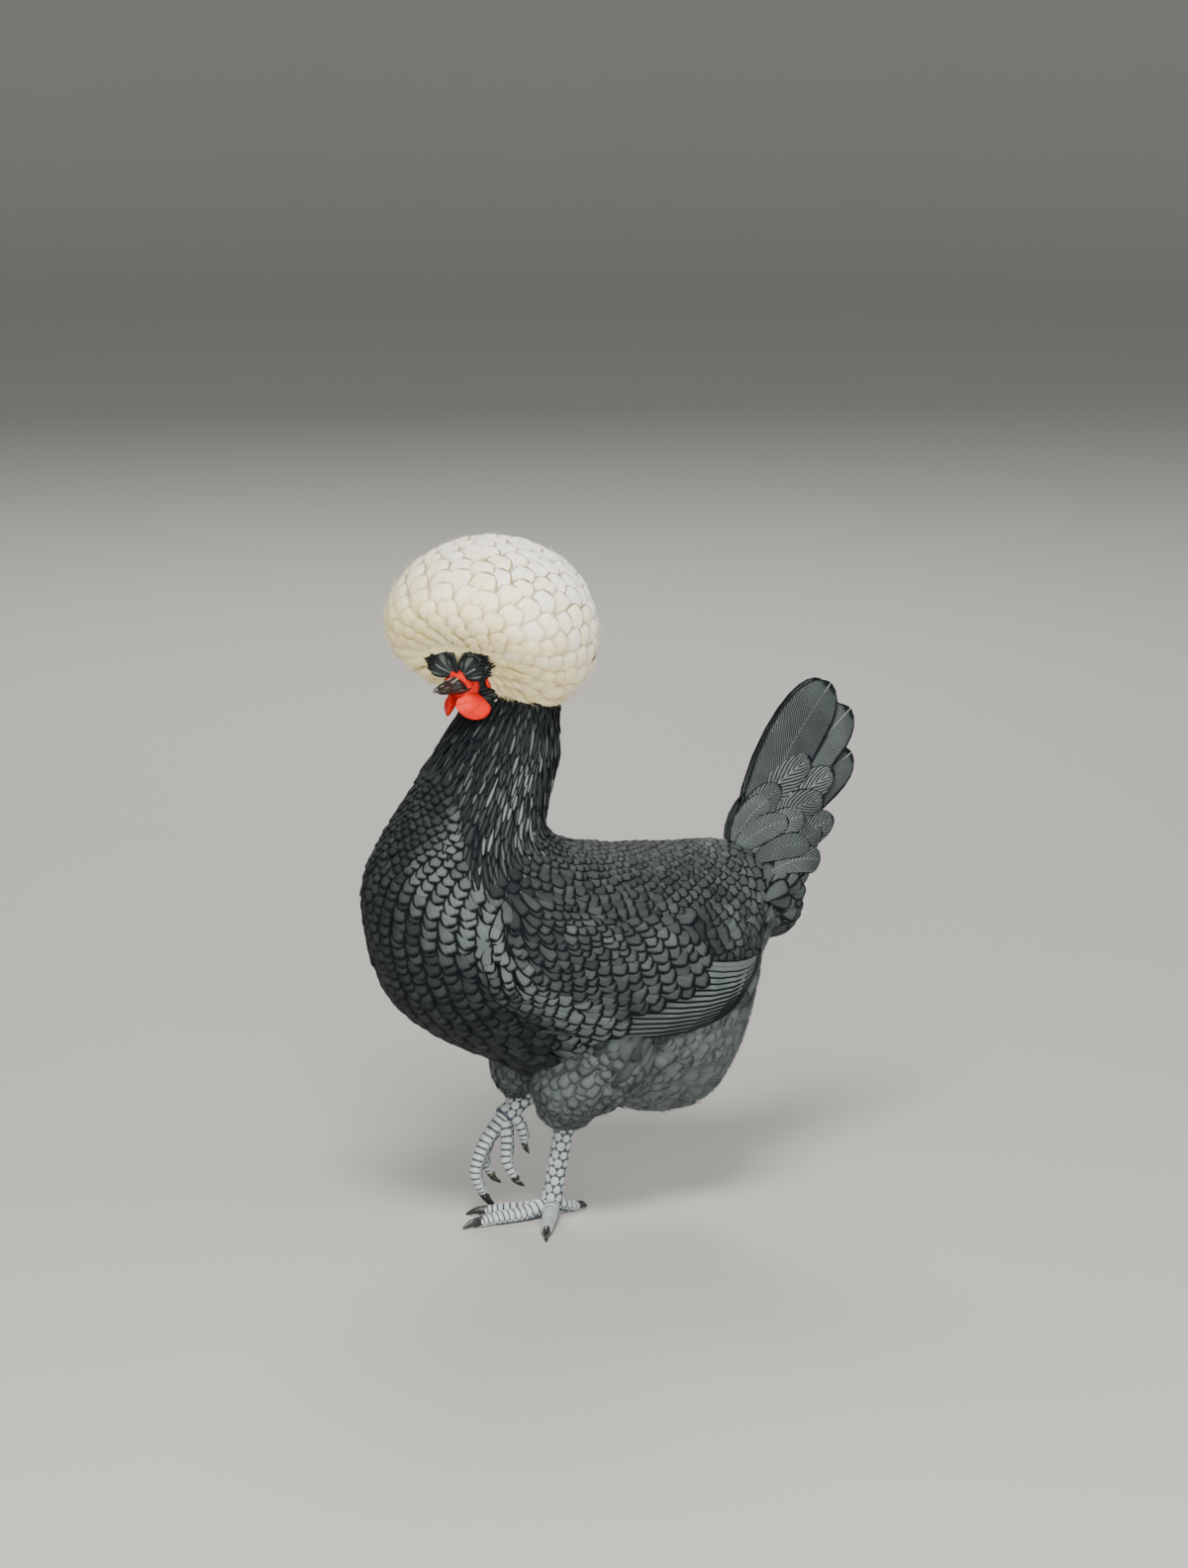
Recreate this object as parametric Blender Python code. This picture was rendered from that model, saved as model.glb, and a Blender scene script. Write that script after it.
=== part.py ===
"""A still, life-size white-crested black polish hen, stepping with the right foot raised.

Metres, +Z up. The hen heads along -X, and her left side faces -Y. Sizes are given in
millimetres and turned to metres by MM. The origin is under the middle of her bounding box.
"""

import math

import bmesh
import bpy
from mathutils import Matrix, Vector

MM = 0.001
GAP = 0.32 * MM
LEFT, RIGHT = -1, 1

# Body profile, from the top of the neck to the root of the tail. Each row is one slanted
# section: back x and z, breast or belly x and z, and half the width.
BODY_SECTIONS = [
    (17, 303, -36, 320, 29),
    (16, 281, -53, 297, 35),
    (8, 259, -72, 268, 41),
    (6, 243, -93, 238, 47),
    (14, 233, -105, 212, 55),
    (28, 227, -105, 186, 61),
    (42, 223, -98, 159, 66),
    (56, 221, -85, 135, 70),
    (70, 219, -59, 115, 72),
    (84, 218, -24, 98, 73),
    (98, 217, 12, 80, 72),
    (111, 216, 50, 63, 70),
    (122, 216, 86, 54, 66),
    (132, 215, 110, 58, 56),
    (141, 213, 122, 80, 48),
    (149, 209, 128, 108, 40),
    (158, 203, 143, 139, 33),
    (166, 195, 156, 163, 20),
]
BODY_END = len(BODY_SECTIONS) - 1.0
NECK_END = 4.0
TORSO_END = 15.0
SECTION_CUT = 0.02
BODY_SIDES = 22

# Head, turned towards her left.
HEAD_TURN = math.radians(28)
SKULL_CENTRE = (-35, -2, 331.5)
SKULL_LENGTH = 44
SKULL_WIDTH = 29
SKULL_HEIGHT = 34
BILL_LENGTH = 27
BILL_DEPTH = 11
BILL_WIDTH = 13
MOUTH_RISE = 2.0
MOUTH_HOOK = 0.9
EYE_RADIUS = 4.6
EYE_PLACE = (6.5, 10.5, 2.0)
COMB_ARC = (
    (21.5, 8.2, 0), (22.6, 6.6, 3.2), (23.6, 3.6, 5.4), (24, 0, 6.2), (23.6, -3.6, 5.4), (22.6, -6.6, 3.2),
    (21.5, -8.2, 0),
)
COMB_THICKNESS = 4.6
WATTLE_SIZE = (11.0, 2.8, 7.8)
EARLOBE_SIZE = (4.2, 2.0, 4.4)

# Crest: a globe of broad curved feathers round a core on the skull. The rows of feathers
# are counted in degrees from the face, which stays open.
CREST_CENTRE = (-27, -2, 365)
CREST_RADII = (62, 60, 51)
CREST_CORE_CENTRE = (-20, 2, 363)
CREST_CORE_RADII = (33, 32, 30)
CREST_FACE = (-0.62, -0.43, -0.66)
CREST_FIRST_ROW = 50
CREST_LAST_ROW = 173
CREST_ROWS = 8
CREST_SPACING = 21
CREST_SWEEP = 0.44
CREST_ROOT = 0.28
CREST_OVERHANG = 0.19
NAPE = (0.66, 0.0, -0.75)
TUFT_FEATHERS = 6
TUFT_LENGTHS = (10, 19, 23, 21, 16)
TUFT_LEANS = (0, 95)

# The share of the room beside it that a feather in a row fills, to each side.
ROW_FILL = 0.47

# Wings: the flight feathers and two tiers of coverts, each lying over the one below it.
WING_START = 4.9
WING_END = 11.0
FLIGHT_FEATHERS = 8
COVERTS_IN_TIER = 6
FEATHER_TILT = math.radians(13)

# Tail: six pairs of stiff feathers, tented over the back, with two tiers of coverts.
# A tier is reach, count, spread to the side, half width, and its first and last angle.
TAIL_PAIRS = 6
TAIL_ROOT = (148, 0, 196)
TAIL_RISE = (61, 12)
TAIL_LENGTHS = (126, 121, 103, 58, 39, 32)
TAIL_FEATHER_WIDTH = 32
COVERT_CENTRE = (140, 0, 184)
COVERT_ROOT = 19
COVERT_TIERS = ((47, 6, 31, 11.5, 66, -62), (33, 5, 38, 11.5, 60, -56))

# Legs and feet.
FLOOR = -4.6
LEFT_HOCK = (17, -16, 62)
LEFT_ANKLE = (13.5, -3, 6)
RIGHT_HOCK = (30, 28, 75)
RIGHT_ANKLE = (-4, 24, 54)
SHANK_RADIUS = 6.4
ANKLE_RADIUS = 7.2
TOE_SIDES = 6
TOE_RINGS = 9


def mm(x, y, z):
    """A point given in millimetres, in metres."""
    return Vector((x, y, z)) * MM


def spline(rows, t):
    """The row at real index t, on a Catmull-Rom curve through the rows."""
    last = len(rows) - 1
    t = min(max(t, 0.0), float(last))
    i = min(int(t), last - 1)
    f = t - i
    p0, p1, p2, p3 = (rows[min(max(i + k, 0), last)] for k in (-1, 0, 1, 2))
    mixed = []
    for a, b, c, d in zip(p0, p1, p2, p3):
        slope_in = (c - a) / 2
        slope_out = (d - b) / 2
        ease = f * f * (3 - 2 * f)
        rise = f * (1 - f) * (slope_in * (1 - f) - slope_out * f)
        mixed.append(b + (c - b) * ease + rise)
    return mixed


def between(values, s):
    """The value at share s of an evenly spaced list, in straight runs."""
    place = min(max(s, 0.0), 1.0) * (len(values) - 1)
    i = min(int(place), len(values) - 2)
    return values[i] + (values[i + 1] - values[i]) * (place - i)


def surface_point(t, angle, side):
    """A point of the plumage: t counts sections, angle runs from 0 on the back to pi below."""
    back_x, back_z, front_x, front_z, width = spline(BODY_SECTIONS, t)
    middle = mm((back_x + front_x) / 2, 0, (back_z + front_z) / 2)
    half = mm((back_x - front_x) / 2, 0, (back_z - front_z) / 2)
    return middle + half * math.cos(angle) + mm(0, side * width, 0) * math.sin(angle)


def surface_normal(t, angle, side):
    """The outward direction of the plumage at a point."""
    step = 0.02
    along = surface_point(min(t + step, BODY_END), angle, side)
    along -= surface_point(max(t - step, 0.0), angle, side)
    around = surface_point(t, angle + step, side) - surface_point(t, angle - step, side)
    return (along.cross(around) * side).normalized()


def body_point(t, angle, side, lift):
    """A point that stands out from the plumage by the lift, in millimetres."""
    return surface_point(t, angle, side) + surface_normal(t, angle, side) * lift * MM


def new_object(name, bm, material, sharp=40):
    """Turns a closed bmesh into a named object, its faces pointing out."""
    bmesh.ops.recalc_face_normals(bm, faces=bm.faces[:])
    bmesh.ops.triangulate(bm, faces=bm.faces[:])
    mesh = bpy.data.meshes.new(name)
    bm.to_mesh(mesh)
    bm.free()
    mesh.shade_smooth()
    mesh.set_sharp_from_angle(angle=math.radians(sharp))
    made = bpy.data.objects.new(name, mesh)
    bpy.context.scene.collection.objects.link(made)
    if material:
        made.data.materials.append(material)
    return made


def loft(name, rings, material=None):
    """A closed body through rings of points, with its two ends filled."""
    bm = bmesh.new()
    loops = [[bm.verts.new(point) for point in ring] for ring in rings]
    for one, two in zip(loops, loops[1:]):
        for k in range(len(one)):
            after = (k + 1) % len(one)
            bm.faces.new((one[k], one[after], two[after], two[k]))
    bm.faces.new(loops[0])
    bm.faces.new(loops[-1])
    return new_object(name, bm, material)


def tube(name, line, radii, sides, material=None, flat=1.0, up=Vector((0, 0, 1))):
    """A tapered round bar along a line of points. flat squeezes it across, away from up."""
    rings = []
    for i, point in enumerate(line):
        along = (line[min(i + 1, len(line) - 1)] - line[max(i - 1, 0)]).normalized()
        side = along.cross(up).normalized()
        rise = side.cross(along)
        ring = []
        for k in range(sides):
            turn = 2 * math.pi * k / sides
            ring.append(point + (side * math.cos(turn) * flat + rise * math.sin(turn)) * radii[i])
        rings.append(ring)
    return loft(name, rings, material)


def curve_points(corners, count):
    """Evenly counted points on a smooth curve through corners given in millimetres."""
    last = len(corners) - 1
    return [mm(*spline(corners, last * i / (count - 1))) for i in range(count)]


def ball(name, centre, radii, material=None, segments=12, rings=8, turn=None):
    """An ellipsoid, turned by a matrix where one is given."""
    bm = bmesh.new()
    bmesh.ops.create_uvsphere(bm, u_segments=segments, v_segments=rings, radius=1)
    bmesh.ops.scale(bm, vec=Vector(radii) * MM, verts=bm.verts[:])
    if turn:
        bmesh.ops.transform(bm, matrix=turn, verts=bm.verts[:])
    bmesh.ops.translate(bm, vec=centre, verts=bm.verts[:])
    return new_object(name, bm, material)


# A vane's sections: the share along its shaft, and its width there as a share of the widest.
BROAD_VANE = ((0.0, 0.3), (0.42, 0.86), (0.8, 1.0), (1.0, 0.42))
ROW_VANE = ((0.0, 0.8), (0.42, 0.94), (0.78, 1.0), (1.0, 0.44))
LONG_VANE = ((0.0, 0.3), (0.34, 0.85), (0.68, 1.0), (0.89, 0.84), (1.0, 0.34))


def vane(line, up, half_width, shape=BROAD_VANE, thick=1.0, camber=0.14, solid_edge=True):
    """One feather: a thin strip, raised along its shaft, round at the tip.

    line, up and half_width are functions of the share from the root: a point, the side that
    faces out, and millimetres. Both faces are split into triangles alike. Without a solid
    edge the strip thins out to its two sides.
    """
    bm = bmesh.new()
    sections = []
    for place, width in shape:
        point = line(place)
        along = (line(min(place + 0.03, 1.0)) - line(max(place - 0.03, 0.0))).normalized()
        side = along.cross(up(place)).normalized()
        rise = side.cross(along).normalized()
        side *= half_width(place) * width * MM
        top = [point - side, point + rise * side.length * camber, point + side]
        low = [corner - rise * thick * MM for corner in reversed(top)]
        ring = top + (low if solid_edge else low[1:2])
        sections.append([bm.verts.new(corner) for corner in ring])
    size = len(sections[0])
    for one, two in zip(sections, sections[1:]):
        for k in range(size):
            after = (k + 1) % size
            if k < size // 2:
                bm.faces.new((one[k], one[after], two[after]))
                bm.faces.new((one[k], two[after], two[k]))
            else:
                bm.faces.new((one[k], one[after], two[k]))
                bm.faces.new((one[after], two[after], two[k]))
    for end in (sections[0], sections[-1]):
        if solid_edge:
            bm.faces.new((end[0], end[1], end[4], end[5]))
            bm.faces.new((end[1], end[2], end[3], end[4]))
        else:
            bm.faces.new(end)
    return new_object("vane", bm, None)


def applied(obj):
    """Makes an object's modifiers part of its mesh."""
    graph = bpy.context.evaluated_depsgraph_get()
    mesh = bpy.data.meshes.new_from_object(obj.evaluated_get(graph))
    obj.modifiers.clear()
    old = obj.data
    obj.data = mesh
    bpy.data.meshes.remove(old)


def volume_under(face):
    """The signed volume between a triangle and the origin."""
    a, b, c = (vert.co for vert in face.verts)
    return a.dot(b.cross(c)) / 6


def keep_largest(obj):
    """Keeps only the closed surface of an object that holds the most."""
    bm = bmesh.new()
    bm.from_mesh(obj.data)
    bmesh.ops.dissolve_degenerate(bm, dist=1e-6, edges=bm.edges[:])
    bmesh.ops.triangulate(bm, faces=bm.faces[:])
    left = set(bm.faces)
    shells = []
    while left:
        shell, edge = set(), [left.pop()]
        while edge:
            face = edge.pop()
            shell.add(face)
            for near in {f for e in face.edges if e.is_manifold for f in e.link_faces} & left:
                left.remove(near)
                edge.append(near)
        shells.append(shell)
    largest = max(shells, key=lambda shell: sum(volume_under(face) for face in shell))
    dropped = [face for face in bm.faces if face not in largest]
    bmesh.ops.delete(bm, geom=dropped, context="FACES")
    bmesh.ops.delete(bm, geom=[v for v in bm.verts if not v.link_faces], context="VERTS")
    bm.to_mesh(obj.data)
    bm.free()
    return obj


def fuse(base, pieces):
    """Joins the pieces to their base as one closed body."""
    group = bpy.data.collections.new(base.name + "_pieces")
    bpy.context.scene.collection.children.link(group)
    for piece in pieces:
        group.objects.link(piece)
        bpy.context.scene.collection.objects.unlink(piece)
    join = base.modifiers.new("join", "BOOLEAN")
    join.operation = "UNION"
    join.operand_type = "COLLECTION"
    join.collection = group
    join.solver = "MANIFOLD"
    applied(base)
    for piece in pieces:
        bpy.data.objects.remove(piece)
    bpy.data.collections.remove(group)
    return keep_largest(base)


def grown(obj, gap):
    """A copy of an object with every face moved out by the gap."""
    bm = bmesh.new()
    bm.from_mesh(obj.data)
    bm.normal_update()
    moves = [vert.normal * gap * min(vert.calc_shell_factor(), 2.0) for vert in bm.verts]
    for vert, move in zip(bm.verts, moves):
        vert.co += move
    return new_object(obj.name + "_room", bm, None)


def carve(obj, others, gap=GAP):
    """Cuts room for the others out of an object, so that they meet it face to face."""
    for other in others:
        cutter = grown(other, gap)
        cut = obj.modifiers.new("room", "BOOLEAN")
        cut.operation = "DIFFERENCE"
        cut.object = cutter
        cut.solver = "MANIFOLD"
        applied(obj)
        bpy.data.objects.remove(cutter)
    return keep_largest(obj)


def flat_below(obj):
    """Cuts off what reaches below the floor, and leaves a small flat there."""
    bm = bmesh.new()
    bm.from_mesh(obj.data)
    everything = bm.verts[:] + bm.edges[:] + bm.faces[:]
    cut = bmesh.ops.bisect_plane(
        bm, geom=everything, plane_co=(0, 0, FLOOR * MM), plane_no=(0, 0, -1), clear_outer=True, dist=1e-7
    )
    rim = [part for part in cut["geom_cut"] if isinstance(part, bmesh.types.BMEdge)]
    if rim:
        bmesh.ops.holes_fill(bm, edges=rim, sides=0)
    bmesh.ops.triangulate(bm, faces=bm.faces[:])
    bm.to_mesh(obj.data)
    bm.free()
    return obj


def make_material(name, colour, roughness):
    """A plain finish for one kind of surface."""
    material = bpy.data.materials.new(name)
    material.use_nodes = True
    shader = material.node_tree.nodes["Principled BSDF"]
    shader.inputs["Base Color"].default_value = (*colour, 1)
    shader.inputs["Roughness"].default_value = roughness
    shader.inputs["Metallic"].default_value = 0.0
    material.diffuse_color = (*colour, 1)
    return material


def make_finishes():
    """The hen's finishes, by name."""
    return {
        "black": make_material("black_plumage", (0.035, 0.04, 0.042), 0.5),
        "white": make_material("white_crest", (0.86, 0.83, 0.74), 0.8),
        "red": make_material("red_skin", (0.72, 0.06, 0.04), 0.45),
        "lobe": make_material("white_lobe", (0.85, 0.84, 0.8), 0.5),
        "horn": make_material("dark_horn", (0.09, 0.085, 0.08), 0.3),
        "slate": make_material("slate_scales", (0.3, 0.34, 0.38), 0.5),
        "eye": make_material("red_brown_eye", (0.3, 0.07, 0.02), 0.1),
    }


def body_span(name, first, last, count, material):
    """The stretch of the body between two sections, closed at both ends."""
    rings = []
    for i in range(count):
        t = first + (last - first) * i / (count - 1)
        rings.append([body_ring_point(t, k) for k in range(BODY_SIDES)])
    return loft(name, rings, material)


def body_ring_point(t, k):
    """Corner k of the section at t."""
    turn = 2 * math.pi * (k + 0.5) / BODY_SIDES
    if turn < math.pi:
        return surface_point(t, turn, RIGHT)
    return surface_point(t, 2 * math.pi - turn, LEFT)


def make_torso_and_neck(finish):
    """Torso and neck, one smooth form parted by a thin cut."""
    return {
        "neck": body_span("neck", 0.0, NECK_END - SECTION_CUT, 7, finish["black"]),
        "torso": body_span("torso", NECK_END, TORSO_END - SECTION_CUT, 14, finish["black"]),
    }


def head_place(forward, left, up):
    """A point given in the head's own directions from the middle of the skull."""
    heading = Vector((-math.cos(HEAD_TURN), -math.sin(HEAD_TURN), 0))
    leftward = Vector((0, 0, 1)).cross(heading)
    return mm(*SKULL_CENTRE) + (heading * forward + leftward * left + Vector((0, 0, up))) * MM


def head_turned():
    """Turns a shape made along +X to the head's heading."""
    return Matrix.Rotation(math.pi + HEAD_TURN, 4, "Z")


# The skull's sections from back to front: place, size and rise, as shares of its own sizes.
SKULL_SECTIONS = (
    (-0.98, 0.26, 0.06), (-0.78, 0.62, 0.05), (-0.4, 0.9, 0.05), (0.0, 0.98, 0.05),
    (0.4, 0.84, 0.01), (0.7, 0.62, -0.05), (1.0, 0.34, -0.12),
)


def make_skull(finish):
    """The skull with its knob, throat and lids."""
    sides = 12
    rings = []
    for place, size, rise in SKULL_SECTIONS:
        ring = []
        for k in range(sides):
            turn = 2 * math.pi * k / sides
            across = math.cos(turn) * SKULL_WIDTH / 2 * size
            height = math.sin(turn) * SKULL_HEIGHT / 2 * size + rise * SKULL_HEIGHT
            ring.append(head_place(place * SKULL_LENGTH / 2, across, height))
        rings.append(ring)
    head = loft("head", rings, finish["red"])
    knob = ball("knob", head_place(0, 0, 13), (15, 11, 10), segments=10, rings=6)
    throat = ball("throat", head_place(1, 0, -9), (14, 10.5, 11), segments=10, rings=6)
    return fuse(head, [knob, throat, make_lid(LEFT), make_lid(RIGHT)])


def make_head(finish, neck):
    """Skull, eyes, bill, comb, wattles and earlobes."""
    made = {}
    head = make_skull(finish)
    for side, word in ((1, "left"), (-1, "right")):
        eye = ball(f"eye_{word}", eye_centre(side), (EYE_RADIUS,) * 3, finish["eye"], 8, 6)
        made[eye.name] = eye
    upper = make_upper_bill(finish)
    lower = make_bill_half("bill_lower", finish, False)
    carve(head, [neck, made["eye_left"], made["eye_right"]])
    carve(upper, [head])
    carve(lower, [head, upper])
    comb = carve(make_comb(finish), [head, upper])
    for node in (head, upper, lower, comb):
        made[node.name] = node
    for side, word in ((1, "left"), (-1, "right")):
        wattle = carve(make_wattle(f"wattle_{word}", side, finish), [head, neck, lower, upper, comb])
        lobe = carve(make_earlobe(f"earlobe_{word}", side, finish), [head, neck, wattle])
        made[wattle.name] = wattle
        made[lobe.name] = lobe
    return made


def eye_centre(side):
    """The middle of an eye, set into the side of the skull."""
    forward, out, up = EYE_PLACE
    return head_place(forward, side * out, up)


def make_lid(side):
    """The raised ring of the lids round an eye."""
    forward, out, up = EYE_PLACE
    outward = (head_place(forward, side * out, up) - head_place(forward, 0, up)).normalized()
    bm = bmesh.new()
    circle = bmesh.ops.create_circle(bm, segments=4, radius=1.2 * MM)
    bmesh.ops.rotate(bm, verts=circle["verts"], matrix=Matrix.Rotation(math.pi / 2, 3, "X"))
    bmesh.ops.translate(bm, verts=circle["verts"], vec=((EYE_RADIUS + 0.5) * MM, 0, 0))
    bmesh.ops.spin(
        bm, geom=bm.verts[:] + bm.edges[:], axis=(0, 0, 1), cent=(0, 0, 0),
        angle=2 * math.pi, steps=10, use_merge=True,
    )
    bmesh.ops.remove_doubles(bm, verts=bm.verts[:], dist=1e-6)
    bmesh.ops.transform(bm, matrix=outward.to_track_quat("Z", "Y").to_matrix().to_4x4(), verts=bm.verts[:])
    bmesh.ops.translate(bm, vec=eye_centre(side) + outward * 2.2 * MM, verts=bm.verts[:])
    return new_object("lid", bm, None)


def make_bill_half(name, finish, upper):
    """One half of the bill: arched above, or shallow below, flat along the mouth."""
    sides, count = 8, 6
    start = SKULL_LENGTH / 2 - 6
    depth = BILL_DEPTH * (0.62 if upper else 0.36)
    reach = (BILL_LENGTH + 6) * (1.0 if upper else 0.86)
    rings = []
    for i in range(count):
        s = i / (count - 1)
        width = BILL_WIDTH / 2 * (1 - s) ** 0.62 + 0.7
        mouth = -1.0 + MOUTH_RISE * s - MOUTH_HOOK * s**2.2 - (0 if upper else 0.5)
        tall = depth * (1 - s) ** 0.55 + 0.8
        ring = []
        for k in range(sides):
            turn = 2 * math.pi * k / sides
            rise = math.sin(turn)
            outer = rise > 0 if upper else rise < 0
            height = rise * (tall if outer else 0.15)
            ring.append(head_place(start + reach * s, math.cos(turn) * width, mouth + height))
        rings.append(ring)
    return loft(name, rings, finish["horn"])


def make_upper_bill(finish):
    """The upper bill with its raised, pierced nostrils."""
    bill = make_bill_half("bill_upper", finish, True)
    start = SKULL_LENGTH / 2
    turned = head_turned()
    bulges = []
    for side in (-1, 1):
        bulges.append(ball("nostril", head_place(start + 4, side * 3.6, 2.5), (4.2, 2.0, 2.3), None, 8, 4, turned))
    fuse(bill, bulges)
    for side in (-1, 1):
        pit = ball("pit", head_place(start + 5, side * 5.4, 2.6), (1.8, 1.3, 0.9), None, 6, 4, turned)
        carve(bill, [pit], 0.0)
        bpy.data.objects.remove(pit)
    return bill


def make_comb(finish):
    """The small comb: a crescent over the root of the bill, with two short blunt horns in a V."""
    base = ball("comb", head_place(19.5, 0, 6), (3.4, 4.6, 3.0), finish["red"], 8, 5, head_turned())
    arc = [head_place(*place) for place in COMB_ARC]
    horns = [tube("crescent", arc, [COMB_THICKNESS / 2 * MM] * len(arc), 6, up=Vector((1, 0, 0)))]
    for side in (-1, 1):
        line = [head_place(19.5, side * 2, 6.5), head_place(21, side * 3.2, 9), head_place(21, side * 4.2, 11.5)]
        horns.append(tube("horn", line, [2.2 * MM, 1.8 * MM, 0.9 * MM], 5))
    return fuse(base, horns)


def make_wattle(name, side, finish):
    """A rounded wattle that hangs beside the lower bill and splays out behind."""
    turned = head_turned()
    splay = Matrix.Rotation(-side * math.radians(30), 4, "Z") @ Matrix.Rotation(side * 0.2, 4, "X")
    base = ball(name, head_place(19, side * 7.5, -12), WATTLE_SIZE, finish["red"], 12, 7, turned @ splay)
    fold = ball("fold", head_place(17.5, side * 5.5, -5.5), (6, 3.2, 5), None, 8, 5, turned)
    return fuse(base, [fold])


def make_earlobe(name, side, finish):
    """The small white lobe behind the wattle."""
    turned = head_turned() @ Matrix.Rotation(side * 0.2, 4, "X")
    place = head_place(2, side * (SKULL_WIDTH / 2 - 2.4), -9)
    return ball(name, place, EARLOBE_SIZE, finish["lobe"], 8, 6, turned)


def crest_point(polar, around, share):
    """A point in the crest's globe. polar is measured from the face, share is 1 on the globe."""
    face = Vector(CREST_FACE).normalized()
    across = face.cross(Vector((0, 1, 0))).normalized()
    other = face.cross(across)
    ray = face * math.cos(polar) + (across * math.cos(around) + other * math.sin(around)) * math.sin(polar)
    nape = CREST_OVERHANG * max(0.0, ray.dot(Vector(NAPE))) ** 4
    return mm(*CREST_CENTRE) + Vector(r * s for r, s in zip(ray, CREST_RADII)) * share * (1 + nape) * MM


def row_room(line, beside, widest):
    """Half a feather's width along its shaft, so that it stays clear of the one beside it."""
    return lambda s: min((beside(s) - line(s)).length / MM * ROW_FILL, widest)


def crest_line(polar, around, reach, s):
    """The shaft of a crest feather: out of the core, then over along the globe."""
    bend = CREST_SWEEP * (1 - s) ** 1.3
    share = CREST_ROOT + (reach - CREST_ROOT) * (1 - (1 - s) ** 2.1)
    return crest_point(polar - bend, around, share)


def crest_feather(polar, around, step, reach):
    """One broad crest feather, as wide as its row leaves room for."""
    def line(s):
        return crest_line(polar, around, reach, s)

    def up(s):
        outward = line(s) - mm(*CREST_CENTRE)
        return Vector(o / r**2 for o, r in zip(outward, CREST_RADII)).normalized()

    def beside(s):
        return crest_line(polar, around + step, reach, s)

    room = row_room(line, beside, CREST_SPACING / 2)
    return vane(line, up, room, ROW_VANE, thick=1.7, camber=0.24, solid_edge=False)


def in_neck(point):
    """True where a crest feather would end inside the top of the neck."""
    back_x, back_z, front_x, front_z, width = BODY_SECTIONS[0]
    away = Vector((point.x / MM - (back_x + front_x) / 2, point.y / MM))
    return point.z / MM < front_z + 4 and away.length < width * 0.86


def make_crest(finish, inside):
    """The globular crest, row upon row of broad feathers spreading from the face."""
    core = ball("crest", mm(*CREST_CORE_CENTRE), CREST_CORE_RADII, finish["white"], 10, 7)
    pieces = []
    mean = sum(CREST_RADII) / 3
    for row in range(CREST_ROWS):
        share = row / (CREST_ROWS - 1)
        polar = math.radians(CREST_FIRST_ROW + (CREST_LAST_ROW - CREST_FIRST_ROW) * share)
        count = max(3, round(2 * math.pi * mean * math.sin(polar) / CREST_SPACING))
        step = 2 * math.pi / count
        for k in range(count):
            around = (k + 0.5 * (row % 2)) * step
            reach = 0.985 + 0.015 * math.sin(7.3 * k + 2.1 * row)
            if not in_neck(crest_line(polar, around, reach, 1.0)):
                pieces.append(crest_feather(polar, around, step, reach))
    fuse(core, pieces)
    return carve(core, inside)


def tuft_line(side, s, share):
    """The shaft of a tuft's feather. s runs across the fan, from upright to the side."""
    low, high = TUFT_LEANS
    lean = math.radians(low + (high - low) * s)
    reach = 3 + between(TUFT_LENGTHS, s) * share
    forward = 18 + 2.4 * math.sin(math.pi * min(share * 0.8 + 0.1, 1)) + 1.5 * share
    return head_place(forward, side * (3.5 + reach * math.sin(lean)), 5 + reach * math.cos(lean))


def tuft_feather(side, k):
    """One feather of a tuft."""
    def line(share):
        return tuft_line(side, k / (TUFT_FEATHERS - 1), share)

    def beside(share):
        return tuft_line(side, (k + 1) / (TUFT_FEATHERS - 1), share)

    def up(share):
        return (head_place(1, 0, 0.2) - head_place(0, 0, 0)).normalized()

    return vane(line, up, row_room(line, beside, 5), ROW_VANE, thick=1.5, camber=0.2, solid_edge=False)


def make_tuft(name, side, finish, inside):
    """One of the two black tufts over the bill: a small fan of short feathers."""
    base = ball(name, head_place(16.5, side * 6, 8), (4.5, 6, 5), finish["black"], 8, 5, head_turned())
    pieces = [tuft_feather(side, k) for k in range(TUFT_FEATHERS)]
    fuse(base, pieces)
    return carve(base, inside)


def wing_share(t):
    """How far along the wing a section is, from the shoulder to the end of its base."""
    return (t - WING_START) / (WING_END - WING_START)


def wing_middle(t):
    """The angle down the side of the body at which the wing lies."""
    return math.radians(between([90, 88, 87, 86, 86, 87, 88], wing_share(t)))


def wing_reach(t):
    """Half of the wing's height there, as an angle."""
    return math.radians(between([14, 31, 38, 40, 39, 35, 28, 20], wing_share(t)))


def wing_depth(t):
    """How far the wing's base stands out from the body, in millimetres."""
    return between([2.5, 7.5, 8.5, 7.8, 6.0, 4.4, 3.2, 2.4], wing_share(t))


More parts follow.
